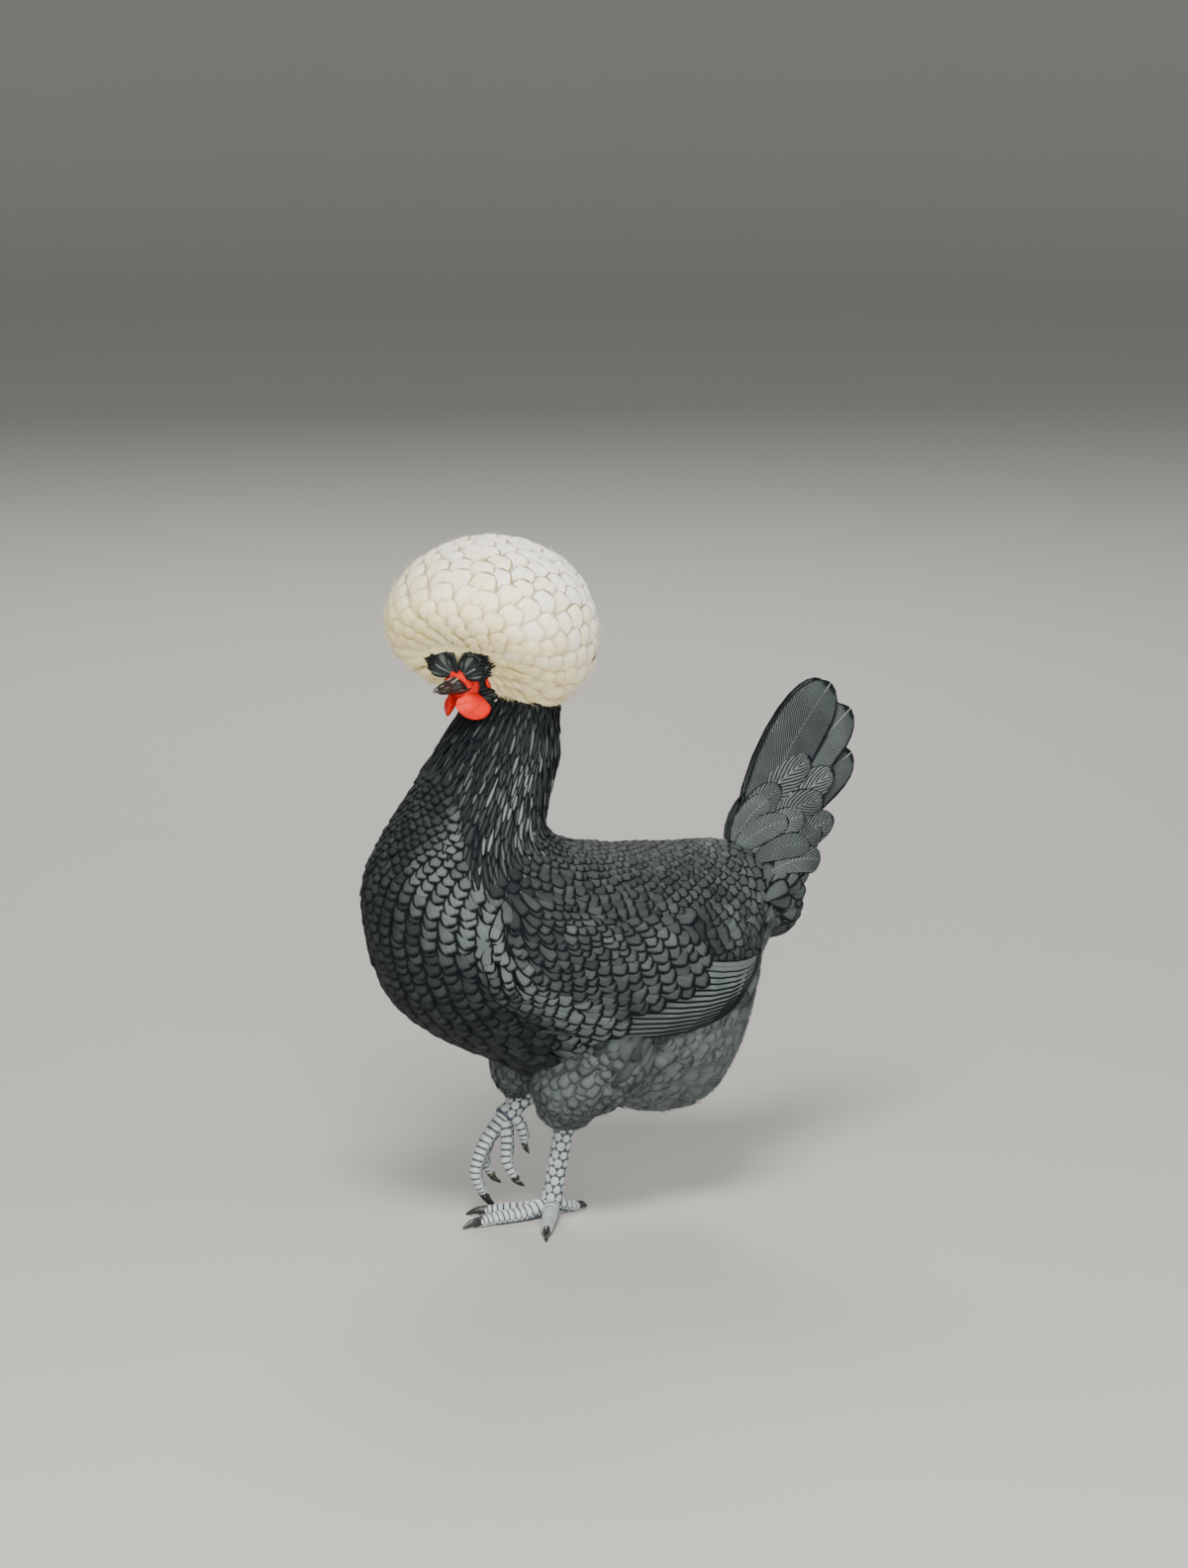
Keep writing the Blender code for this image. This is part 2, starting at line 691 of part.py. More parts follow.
def make_wing(name, side, finish, torso):
    """A folded wing: a smooth shoulder, two tiers of coverts, and the flight feathers."""
    along_count, across_count = 8, 6
    bm = bmesh.new()
    outer, inner = [], []
    for i in range(along_count):
        t = WING_START + (WING_END - WING_START) * i / (along_count - 1)
        tops, lows = [], []
        for j in range(across_count):
            across = 2 * j / (across_count - 1) - 1
            angle = wing_middle(t) + across * wing_reach(t)
            depth = 1.2 + (wing_depth(t) - 1.2) * math.sqrt(max(0.0, 1 - across**4))
            tops.append(bm.verts.new(body_point(t, angle, side, depth)))
            lows.append(bm.verts.new(body_point(t, angle, side, -1.5)))
        outer.append(tops)
        inner.append(lows)
    for i in range(along_count - 1):
        for j in range(across_count - 1):
            for sheet in (outer, inner):
                bm.faces.new((sheet[i][j], sheet[i + 1][j], sheet[i + 1][j + 1], sheet[i][j + 1]))
        for j in (0, across_count - 1):
            bm.faces.new((outer[i][j], outer[i + 1][j], inner[i + 1][j], inner[i][j]))
    for i in (0, along_count - 1):
        for j in range(across_count - 1):
            bm.faces.new((outer[i][j], outer[i][j + 1], inner[i][j + 1], inner[i][j]))
    wing = new_object(name, bm, finish["black"])
    fuse(wing, flight_feathers(side) + wing_coverts(side))
    return carve(wing, [torso])


def body_vane(side, start, end, half_width, shape):
    """A feather that lies over the body. start and end are section, angle and lift.

    Its lower edge is tilted up, so that it lies over the next feather down.
    """
    def place(s):
        return [a + (b - a) * s for a, b in zip(start, end)]

    def line(s):
        t, angle, lift = place(s)
        return body_point(t, angle, side, lift)

    def up(s):
        t, angle, _ = place(s)
        backward = surface_point(t, angle - 0.02, side) - surface_point(t, angle, side)
        normal = surface_normal(t, angle, side)
        return normal * math.cos(FEATHER_TILT) + backward.normalized() * math.sin(FEATHER_TILT)

    return vane(line, up, lambda s: half_width, shape, thick=1.3, camber=0.1, solid_edge=False)


def flight_feathers(side):
    """Secondaries and primaries, each lying over the one below, down to the wing's tip."""
    pieces = []
    for k in range(FLIGHT_FEATHERS):
        s = k / (FLIGHT_FEATHERS - 1)
        start = (7.2 + 0.7 * s, math.radians(68 + 40 * s), 2.6)
        angle = between([58, 68, 79, 88, 93], s)
        end = (between([10.9, 11.8, 12.5, 12.9, 13.1], s), math.radians(angle), 4.4)
        pieces.append(body_vane(side, start, end, between([10, 9.5, 6.8], s), LONG_VANE))
    return pieces


def wing_coverts(side):
    """Two tiers of rounded coverts over the roots of the flight feathers."""
    pieces = []
    tiers = ((7.9, 10.0, 54, 116, 4.6, 8.6), (6.3, 8.3, 56, 120, 6.0, 10.8))
    for root, tip, high, low, root_lift, tip_lift in tiers:
        for k in range(COVERTS_IN_TIER):
            s = k / (COVERTS_IN_TIER - 1)
            angle = math.radians(high + (low - high) * s)
            reach = tip + 0.3 * math.sin(math.pi * s) - 0.2 * s
            start = (root, angle + 0.03, root_lift)
            end = (reach, angle - 0.09, tip_lift)
            pieces.append(body_vane(side, start, end, 10, BROAD_VANE))
    return pieces


def make_tail(finish, inside):
    """The rump's end with tail feathers in a tented fan, and two tiers of coverts a side."""
    base = body_span("tail", TORSO_END, BODY_END, 3, finish["black"])
    pieces = []
    for side in (LEFT, RIGHT):
        for k in range(TAIL_PAIRS):
            pieces.append(tail_feather(side, k / (TAIL_PAIRS - 1)))
        for tier in COVERT_TIERS:
            pieces += tail_coverts(side, tier)
    fuse(base, pieces)
    return carve(base, inside)


def tail_feather(side, s):
    """One stiff tail feather, bowed along its length and round at its tip."""
    steep, level = TAIL_RISE
    rise = math.radians(steep + (level - steep) * s)
    long = between(TAIL_LENGTHS, s)
    out = side * (2.6 + 13 * s)
    flare = side * (2 + 9 * s)
    root_x, _, root_z = TAIL_ROOT

    def line(share):
        reach = 8 + (long - 8) * share
        bow = 0.06 * long * math.sin(math.pi * share)
        x = root_x + reach * math.cos(rise) - bow * math.sin(rise)
        z = root_z - 8 * s + reach * math.sin(rise) + bow * math.cos(rise)
        return mm(x, out + flare * share, z)

    def up(share):
        return Vector((0.08, side, 0.22)).normalized()

    half = TAIL_FEATHER_WIDTH / 2 * (1 - 0.25 * s)
    return vane(line, up, lambda share: half, LONG_VANE, thick=1.4, camber=0.1, solid_edge=False)


def covert_line(side, tier, k, share):
    """The shaft of a tail covert, which swells out from the rump and lies back."""
    reach, count, spread, _, first, last = tier
    centre_x, _, centre_z = COVERT_CENTRE
    rise = math.radians(first + (last - first) * k / (count - 1))
    away = COVERT_ROOT + (reach - COVERT_ROOT) * share
    out = spread * (0.72 + 0.28 * share * (2 - share)) * (1 - 0.3 * share**2)
    return mm(centre_x + away * math.cos(rise), side * out, centre_z + away * math.sin(rise))


def tail_coverts(side, tier):
    """One tier of rounded coverts that bury the roots of the tail feathers."""
    pieces = []
    for k in range(tier[1]):
        def line(share, k=k):
            return covert_line(side, tier, k, share)

        def beside(share, k=k):
            return covert_line(side, tier, k + 1, share)

        def up(share, k=k):
            away = covert_line(side, tier, k, 1.0) - mm(*COVERT_CENTRE)
            return Vector((away.x, 0, away.z)).normalized() * 0.5 * share + Vector((0, side, 0))

        room = row_room(line, beside, tier[3])
        pieces.append(vane(line, up, room, ROW_VANE, thick=1.5, camber=0.16, solid_edge=False))
    return pieces


def make_thigh(name, corners, radii, finish, inside):
    """A feathered thigh, from the side of the body down to the hock."""
    line = curve_points(corners, 7)
    sizes = [between(radii, i / 6) * MM for i in range(7)]
    return carve(tube(name, line, sizes, 14, finish["black"], up=Vector((1, 0, 0))), inside)


def make_legs(finish, inside):
    """Thighs, shanks, toes and claws: the left foot bears, the right one is raised."""
    made = {}
    left_line = [(44, -36, 126), (29, -34, 101), (14, -26, 79), (14, -18, 60)]
    right_line = [(36, 34, 124), (22, 33, 101), (11, 30, 81), (13, 27, 65)]
    thighs = {
        "left": make_thigh("thigh_left", left_line, [34, 31, 25, 12], finish, inside),
        "right": make_thigh("thigh_right", right_line, [34, 30, 19, 9], finish, inside),
    }
    shanks = {"left": (LEFT_HOCK, LEFT_ANKLE), "right": (RIGHT_HOCK, RIGHT_ANKLE)}
    for word, (hock, ankle) in shanks.items():
        thigh = thighs[word]
        shank = make_shank(f"shank_{word}", mm(*hock), mm(*ankle), finish)
        carve(shank, [thigh, inside[0]])
        made[thigh.name] = thigh
        made[shank.name] = shank
        before = [shank]
        for number, thickness, corners, claw_line in toes_of(word):
            toe = carve(make_toe(f"toe_{word}_{number}", corners, thickness, finish), before)
            claw = make_claw(f"claw_{word}_{number}", claw_line, thickness, finish)
            before.append(toe)
            made[toe.name] = toe
            made[claw.name] = carve(claw, [toe])
    return made


def make_shank(name, hock, ankle, finish):
    """The scaled shank, with its knob where the toes begin."""
    line = [hock + (ankle - hock) * s for s in (0, 0.25, 0.55, 0.85, 1.0, 1.07)]
    radii = [SHANK_RADIUS * k for k in (1.12, 1.0, 0.93, 0.98)]
    sizes = [r * MM for r in (*radii, ANKLE_RADIUS, ANKLE_RADIUS * 0.55)]
    shank = tube(name, line, sizes, 12, finish["slate"], flat=0.9, up=Vector((1, 0, 0)))
    return flat_below(shank)


def toes_of(word):
    """Each toe's number, thickness, centre line and claw line on one foot, in millimetres."""
    x, y, z = LEFT_ANKLE if word == "left" else RIGHT_ANKLE
    if word == "left":
        z = FLOOR
        toes = [
            (3, 5.6, [(0, 0, 8), (-18, 0, 4.1), (-36, 0, 3.4), (-50, 0, 2.7)],
             [(-48, 0, 3.3), (-55, 0, 3.2), (-61.5, 0, 0.4)]),
            (4, 5.2, [(0, 0, 7.6), (-9, -14, 3.8), (-18, -27, 3.1), (-25, -38, 2.5)],
             [(-24, -36.5, 3.1), (-28, -43, 2.9), (-32, -50, 0.4)]),
            (2, 5.2, [(0, 0, 7.6), (-12, 9, 3.8), (-25, 17, 3.1), (-34, 22, 2.5)],
             [(-32.5, 21, 3.1), (-38.5, 24.5, 2.9), (-44, 27.5, 0.4)]),
            (1, 4.6, [(0, 0, 9), (9, 2, 5.4), (17, 4, 2.8), (21, 5, 2.2)],
             [(20, 4.8, 2.8), (25, 6, 2.6), (29, 7, 0.4)]),
        ]
    else:
        toes = [
            (3, 5.2, [(0, 0, 0), (-13, 0, -15), (-20, -1, -32), (-14.5, 0, -46)],
             [(-15.2, 0, -45), (-11, 0.2, -51.5), (-3.5, 0.4, -58.2)]),
            (2, 4.8, [(0, 0, 0), (-1, -6, -13), (-3, -9, -25), (1, -11, -35)],
             [(0.4, -10.8, -34), (2.5, -11.5, -38.5), (7.5, -12, -42)]),
            (4, 4.8, [(0, 0, 0), (-6, 7, -14), (-8, 11, -27), (-3, 12, -37)],
             [(-3.6, 12, -36), (-1, 12, -41), (4.5, 12, -45)]),
            (1, 4.2, [(2, 0, 2), (9, -2, -4), (12, -3, -12), (12.5, -3, -17)],
             [(12.5, -3, -16), (13, -3.2, -20.5), (15.5, -3.4, -24.5)]),
        ]
    placed = []
    for number, thickness, toe_line, claw_line in toes:
        lines = [[(x + dx, y + dy, z + dz) for dx, dy, dz in line] for line in (toe_line, claw_line)]
        placed.append((number, thickness, *lines))
    return placed


def across_toe(line):
    """A direction across a toe, so that its rings don't twist."""
    along = (line[-1] - line[0]).normalized()
    return Vector((0, 0, 1)) if abs(along.z) < 0.7 else Vector((0, 1, 0))


def make_toe(name, corners, thickness, finish):
    """A toe with a raised band for each broad scute."""
    line = curve_points(corners, TOE_RINGS)
    sizes = []
    for i in range(TOE_RINGS):
        band = 1.05 if i % 2 else 0.95
        sizes.append(thickness * (1 - 0.36 * i / (TOE_RINGS - 1)) * band * MM)
    toe = tube(name, line, sizes, TOE_SIDES, finish["slate"], flat=0.95, up=across_toe(line))
    return flat_below(toe)


def make_claw(name, corners, thickness, finish):
    """A curved claw, blunt where it meets the floor."""
    line = curve_points(corners, 4)
    sizes = [thickness * share * MM for share in (0.64, 0.54, 0.38, 0.16)]
    claw = tube(name, line, sizes, 6, finish["horn"], flat=0.8, up=across_toe(line))
    return flat_below(claw)


def stand_on_origin(nodes):
    """Moves every node so that the origin lies under the middle of the whole."""
    corners = [vert.co for node in nodes for vert in node.data.vertices]
    low = Vector(min(corner[k] for corner in corners) for k in range(3))
    high = Vector(max(corner[k] for corner in corners) for k in range(3))
    shift = Vector((-(low.x + high.x) / 2, -(low.y + high.y) / 2, -low.z))
    for node in nodes:
        node.data.transform(Matrix.Translation(shift))


def main():
    """Builds every node of the hen."""
    for old in list(bpy.data.objects):
        bpy.data.objects.remove(old)
    finish = make_finishes()
    nodes = make_torso_and_neck(finish)
    torso, neck = nodes["torso"], nodes["neck"]
    nodes |= make_head(finish, neck)
    face = [node for name, node in nodes.items() if name not in ("torso", "neck")]
    for side, word in ((1, "left"), (-1, "right")):
        nodes[f"tuft_{word}"] = make_tuft(f"tuft_{word}", side, finish, face)
    carve(nodes["tuft_right"], [nodes["tuft_left"]])
    around = [node for name, node in nodes.items() if name != "torso"]
    nodes["crest"] = make_crest(finish, around)
    wings = []
    for side, word in ((LEFT, "left"), (RIGHT, "right")):
        wings.append(make_wing(f"wing_{word}", side, finish, torso))
        nodes[f"wing_{word}"] = wings[-1]
    nodes["tail"] = make_tail(finish, [torso, *wings])
    nodes |= make_legs(finish, [torso, *wings])
    stand_on_origin(nodes.values())


main()
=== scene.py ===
"""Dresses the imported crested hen: skin, feathers, face, scaled legs and a plain studio."""

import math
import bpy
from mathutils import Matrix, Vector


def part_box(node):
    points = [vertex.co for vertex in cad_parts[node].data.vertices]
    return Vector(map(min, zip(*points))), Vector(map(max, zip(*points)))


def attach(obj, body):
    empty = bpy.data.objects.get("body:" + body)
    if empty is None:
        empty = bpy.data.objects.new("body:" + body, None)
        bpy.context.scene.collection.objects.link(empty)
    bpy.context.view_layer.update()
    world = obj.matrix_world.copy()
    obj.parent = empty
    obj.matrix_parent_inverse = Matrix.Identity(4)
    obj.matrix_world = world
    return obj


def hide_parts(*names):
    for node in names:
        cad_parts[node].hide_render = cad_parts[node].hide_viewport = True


bl_info = {
    "name": "Crested Hen Dresser",
    "version": (1, 0, 0),
    "blender": (4, 5, 0),
    "location": "View3D > Sidebar > Hen",
    "description": "Builds the plumage, skin, horn and scales of a crested hen over its packed solids",
    "category": "Object",
}

import bmesh
import bpy
import numpy as np
from bpy.props import FloatProperty, FloatVectorProperty, IntProperty, PointerProperty
from mathutils import Matrix, Vector, noise

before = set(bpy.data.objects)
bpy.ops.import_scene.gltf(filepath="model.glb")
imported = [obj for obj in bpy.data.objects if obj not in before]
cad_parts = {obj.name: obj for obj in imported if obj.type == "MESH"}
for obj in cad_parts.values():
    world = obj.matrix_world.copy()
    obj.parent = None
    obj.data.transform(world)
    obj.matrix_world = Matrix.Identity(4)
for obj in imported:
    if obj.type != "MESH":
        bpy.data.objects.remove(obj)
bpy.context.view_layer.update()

MM = 0.001
LEFT, RIGHT = -1, 1
SIDES = ((LEFT, "left"), (RIGHT, "right"))
BAKE_PATCH = 0.003
FULL_TURN = 2 * math.pi
# The closed spans round a form stop short of meeting, so that no feather grows twice.
WHOLE_ROUND = (0, FULL_TURN - 0.001)
# Metres: the remeshing of skin and comb, the eye and its lids, and the lowest tip of a crest feather.
SKIN_VOXEL, COMB_VOXEL = 0.0022, 0.00042
EYE_RADIUS, LID_RADIUS, LID_WIDTH = 0.0046, 0.0041, 0.00095
THROAT_HEIGHT = 0.309
# Millimetres in the head's own directions: forward, left and up.
WATTLE_RADII, WATTLE_PLACE = (11.4, 3.1, 8.0), (18.5, 8.2, -12)
LOBE_RADII, LOBE_PLACE = (3.9, 1.9, 4.2), (1.8, 12.3, -9)
BILL_START, BILL_REACH, LOWER_SHARE = 16.0, 33.0, 0.86
BILL_DEPTHS, BILL_WIDTH = (6.8, 4.0), 6.5

# Body profile, from the top of the neck to the root of the tail, as the solids have it:
# back x and z, breast or belly x and z, and half the width, in millimetres.
BODY_SECTIONS = (
    (17, 303, -36, 320, 29), (16, 281, -53, 297, 35), (8, 259, -72, 268, 41),
    (6, 243, -93, 238, 47), (14, 233, -105, 212, 55), (28, 227, -105, 186, 61),
    (42, 223, -98, 159, 66), (56, 221, -85, 135, 70), (70, 219, -59, 115, 72),
    (84, 218, -24, 98, 73), (98, 217, 12, 80, 72), (111, 216, 50, 63, 70),
    (122, 216, 86, 54, 66), (132, 215, 110, 58, 56), (141, 213, 122, 80, 48),
    (149, 209, 128, 108, 40), (158, 203, 143, 139, 33), (166, 195, 156, 163, 20),
)
BODY_END = len(BODY_SECTIONS) - 1.0
BODY_INSIDE = np.array((0.02, 0.0, 0.16))
HEAD_TURN = math.radians(28)
HEADING = np.array((-math.cos(HEAD_TURN), -math.sin(HEAD_TURN), 0.0))
LEFTWARD = np.array((-HEADING[1], HEADING[0], 0.0))
SKULL_CENTRE = np.array((-35.0, -2.0, 331.5))
EYE_PLACE = (6.5, 10.5, 2.0)
CREST_CENTRE = np.array((-27.0, -2.0, 365.0))
CREST_RADII = np.array((62.0, 60.0, 51.0))
CREST_FACE = np.array((-0.62, -0.43, -0.66))
NAPE = np.array((0.66, 0.0, -0.75))
CREST_OVERHANG = 0.19
BOWL_DEPTH, BOWL_EDGES = 0.38, (0.2, 1.2)
COMB_ARC = (
    (21.5, 8.2, 0), (22.6, 6.6, 3.2), (23.6, 3.6, 5.4), (24, 0, 6.2), (23.6, -3.6, 5.4),
    (22.6, -6.6, 3.2), (21.5, -8.2, 0),
)
COMB_HORN = ((22.5, 2.0, 5.5), (23.4, 2.9, 8.2), (23.8, 3.8, 10.4), (23.4, 4.4, 12.1))
TAIL_ROOT = (148, 196)
TAIL_RISE = (61, 12)
TAIL_LENGTHS = (126, 121, 103, 58, 39, 32)
COVERT_CENTRE = (140, 184)
VENT_CENTRE, VENT_RADII = np.array((150.0, 0.0, 176.0)), np.array((38.0, 32.0, 28.0))
# The long tail coverts, under ones first: reach and rise of the root and of the tip, measured from
# the middle of the coverts in millimetres and degrees, then half the width and the height.
LONG_COVERTS = (
    (30, 60, 97, 44, 11.5, 0.5), (34, 78, 94, 55, 12.5, 1.5), (30, 40, 78, 30, 10.5, 1.5),
    (30, 66, 80, 40, 10.5, 2.5), (26, 84, 70, 62, 10, 2.5), (24, 50, 66, 27, 9.5, 2.5),
    (26, 70, 62, 42, 9.5, 3.5), (30, 88, 60, 66, 8.5, 3), (20, 42, 55, 16, 9, 3.5),
    (24, 84, 52, 50, 8.5, 4.5), (22, 60, 50, 30, 8.5, 4.5),
)
WING_START, WING_END = 4.9, 12.9
LEGS = {
    "left": {"hock": (17, -16, 62), "ankle": (13.5, -3, 6)},
    "right": {"hock": (30, 28, 75), "ankle": (-4, 24, 54)},
}
THIGHS = {
    LEFT: (((44, -36, 126), (29, -34, 101), (14, -26, 79), (14, -18, 60)), (34, 31, 25, 12)),
    RIGHT: (((36, 34, 124), (22, 33, 101), (11, 30, 81), (13, 27, 65)), (34, 30, 19, 9)),
}
FLOOR = -4.6

# A feather's outline: places along its shaft, and its width there as a share of the widest.
ROUND_TIP = (
    (0, 0.35), (0.2, 0.7), (0.42, 0.93), (0.62, 1.0), (0.76, 0.95), (0.86, 0.81), (0.93, 0.61),
    (0.975, 0.38), (1, 0.12),
)
OVAL_TIP = ((0, 0.4), (0.25, 0.8), (0.5, 1.0), (0.7, 0.92), (0.85, 0.68), (0.95, 0.36), (1, 0.1))
HACKLE = ((0, 0.5), (0.3, 0.9), (0.55, 1.0), (0.75, 0.8), (0.9, 0.45), (1, 0.08))
LONG_VANE = (
    (0, 0.2), (0.08, 0.45), (0.18, 0.7), (0.32, 0.88), (0.48, 0.97), (0.62, 1.0), (0.74, 0.98),
    (0.83, 0.9), (0.9, 0.76), (0.95, 0.57), (0.985, 0.32), (1, 0.1),
)

BARB_FACES = ((0, 1, 3), (1, 2, 3), (2, 0, 3), (0, 2, 1))
BARB_UV = np.array([[[0.48, 0.2], [0.52, 0.2], [0.5, 0.2], [0.5, 0.6]]])


def unit(vectors):
    """The same directions, each of length one."""
    return vectors / np.maximum(np.linalg.norm(vectors, axis=-1, keepdims=True), 1e-12)


def eased(low, high, x):
    """0 below low, 1 above high, and a smooth rise between."""
    share = np.clip((x - low) / (high - low), 0, 1)
    return share * share * (3 - 2 * share)


def between(values, s):
    """The values at share s of an evenly spaced list, in straight runs."""
    return np.interp(s, np.linspace(0, 1, len(values)), values)


def curved(rows, t):
    """Rows read at real indices t, on a smooth curve through them."""
    rows = np.asarray(rows, float)
    last = len(rows) - 1
    t = np.clip(np.asarray(t, float), 0, last)
    i = np.minimum(t.astype(int), last - 1)
    f = (t - i)[..., None]
    before, one, two, after = (rows[np.clip(i + k, 0, last)] for k in (-1, 0, 1, 2))
    ease = f * f * (3 - 2 * f)
    bend = f * (1 - f) * ((two - before) / 2 * (1 - f) - (after - one) / 2 * f)
    return one + (two - one) * ease + bend


def head_point(forward, left, up):
    """A point given in the head's own directions from the middle of the skull, in metres."""
    place = HEADING * np.asarray(forward)[..., None] + LEFTWARD * np.asarray(left)[..., None]
    place = place + np.array((0, 0, 1.0)) * np.asarray(up)[..., None]
    return (SKULL_CENTRE + place) * MM + SHIFT


def find_shift():
    """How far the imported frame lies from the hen's middle plane, read from the left eye."""
    low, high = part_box("eye_left")
    forward, out, up = EYE_PLACE
    return np.array((low + high) / 2) - head_point(forward, out, up)


SHIFT = np.zeros(3)
SHIFT = find_shift()


class Form:
    """A rounded form that feathers lie on: points by place along it and by place round it."""

    def __init__(self, point, inside, sample):
        self.point = point
        self.outward = 1.0
        sample = [np.array(value) for value in sample]
        self.outward = float(np.sign(np.sum(self.normal(*sample) * (point(*sample) - inside))))

    def along(self, t, a):
        """How the point moves with the place along the form."""
        return (self.point(t + 0.01, a) - self.point(t - 0.01, a)) / 0.02

    def around(self, t, a):
        """How the point moves with the place round the form."""
        return (self.point(t, a + 0.01) - self.point(t, a - 0.01)) / 0.02

    def normal(self, t, a):
        """The way out of the form."""
        return unit(np.cross(self.along(t, a), self.around(t, a))) * self.outward

    def faced(self, faces):
        """Faces of a bar in the form's shape, turned to face out."""
        return [face[::-1] for face in faces] if self.outward < 0 else faces


def body_point(t, angle, side):
    """A point of the plumage's outline: angle 0 is the back and pi is the belly."""
    inside = np.clip(t, 0.0, BODY_END)
    top, below = np.array(BODY_SECTIONS[0], float), np.array(BODY_SECTIONS[1], float)
    over = np.asarray(t - inside)[..., None]
    row = curved(BODY_SECTIONS, inside) + np.minimum(over, 0) * (below - top)
    turn = np.cos(angle)
    x = (row[..., 0] * (1 + turn) + row[..., 2] * (1 - turn)) / 2
    z = (row[..., 1] * (1 + turn) + row[..., 3] * (1 - turn)) / 2
    y = side * row[..., 4] * np.sin(angle)
    past = np.maximum(over, 0) * np.array((9.0, 0.0, -2.0))
    return (np.stack([x, y, z], -1) + past) * MM + SHIFT


def body_form(side):
    """One side of the neck and body."""
    return Form(lambda t, a: body_point(t, a, side), BODY_INSIDE + SHIFT, (8.0, 1.5))


def wing_edges(t):
    """The middle of the folded wing on the body's side, its reach up and down from there, and its share."""
    share = (t - WING_START) / (WING_END - WING_START)
    middle = np.radians(between([90, 89, 88, 87, 87, 87, 88, 84, 78], share))
    above = np.radians(between([14, 18, 19, 23, 28, 29, 19, 12, 6], share))
    below = np.radians(between([14, 31, 38, 39, 37, 34, 24, 13, 6], share))
    return middle, above, below, share


def wing_angle(t, across):
    """The place round the body for a place across the wing, from -1 above to 1 below."""
    middle, above, below, _ = wing_edges(t)
    return middle + across * np.where(across < 0, above, below)


def wing_across(t, angle):
    """The place across the wing for a place round the body."""
    middle, above, below, _ = wing_edges(t)
    return (angle - middle) / np.where(angle < middle, above, below)


def wing_form(side):
    """The folded wing's outer face: across runs from -1 at its upper edge to 1 at its lower."""
    body = body_form(side)

    def point(t, across):
        share = wing_edges(t)[3]
        power = np.where(across < 0, 2.0, 4.0)
        crown = np.clip(1 - np.abs(across) ** power, 0, 1) ** np.where(across < 0, 1.2, 0.5)
        depth = 0.6 + (between([2.5, 6.5, 8.5, 8.2, 7.0, 5.4, 4.2, 3.2, 2.2], share) - 0.6) * crown
        angle = wing_angle(t, across)
        return body.point(t, angle) + body.normal(t, angle) * (depth * MM)[..., None]

    return Form(point, BODY_INSIDE + SHIFT, (8.0, 0.0))


def thigh_form(side):
    """A feathered thigh, along its middle line from 0 at the body to 1 at the hock."""
    corners, sizes = THIGHS[side]

    def point(t, angle):
        place = np.clip(t, 0, 1)
        centre = curved(corners, place * 3)
        behind, ahead = (curved(corners, np.clip(place + step, 0, 1) * 3) for step in (-0.02, 0.02))
        run = unit(ahead - behind)
        one = unit(np.cross(run, np.array((0.0, 1.0, 0.0))))
        two = np.cross(run, one)
        size = between(sizes, place)[..., None]
        over = run * (np.asarray(t - place) * 60.0)[..., None]
        ring = one * np.cos(angle)[..., None] + two * np.sin(angle)[..., None]
        return (centre + ring * size + over) * MM + SHIFT

    return Form(point, curved(corners, 1.5) * MM + SHIFT, (0.5, 0.0))


def crest_point(polar, around, share=1.0):
    """A point of the crest's globe. polar is measured from the face."""
    face = unit(CREST_FACE)
    across = unit(np.cross(face, np.array((0.0, 1.0, 0.0))))
    other = np.cross(face, across)
    ring = across * np.cos(around)[..., None] + other * np.sin(around)[..., None]
    ray = face * np.cos(polar)[..., None] + ring * np.sin(polar)[..., None]
    nape = 1 + CREST_OVERHANG * np.maximum(0.0, ray @ NAPE) ** 4
    return (CREST_CENTRE + ray * CREST_RADII * np.asarray(share * nape)[..., None]) * MM + SHIFT


def bowl_share(polar):
    """How far out the crest reaches: it dips in a bowl round the face."""
    return 1 - BOWL_DEPTH * (1 - eased(*BOWL_EDGES, polar))


def crest_form():
    """The outside of the crest."""
    return Form(lambda t, a: crest_point(t, a, bowl_share(t)), CREST_CENTRE * MM + SHIFT, (1.5, 1.0))


def cushion_form(side):
    """The rounded side of the tail's root: t is the reach in millimetres, angle the rise."""
    def point(t, angle):
        edge = 3 + 9.5 * eased(0.0, 0.5, angle)
        out = edge + (39 - edge) * (1 - (np.clip(t, 0, 62) / 62) ** 1.8)
        out = out * (1 - 0.88 * eased(0.2, 1.6, angle))
        x = COVERT_CENTRE[0] + t * np.cos(angle)
        z = COVERT_CENTRE[1] + t * np.sin(angle)
        return np.stack([x, side * out, z], -1) * MM + SHIFT

    inside = np.array((COVERT_CENTRE[0], 0, COVERT_CENTRE[1])) * MM + SHIFT
    return Form(point, inside, (20.0, 0.0))


def vent_form():
    """The rounded end of the body under the tail: t runs to a pole at the tail's root, a goes round."""
    pole, level = np.array((0.72, 0, 0.69)), np.array((0, 1.0, 0))
    steep = np.cross(pole, level)

    def point(t, a):
        ring = level * np.sin(a)[..., None] + steep * np.cos(a)[..., None]
        place = ring * np.sin(t)[..., None] - pole * np.cos(t)[..., None]
        return (VENT_CENTRE + place * VENT_RADII) * MM + SHIFT

    return Form(point, VENT_CENTRE * MM + SHIFT, (1.5, 1.0))


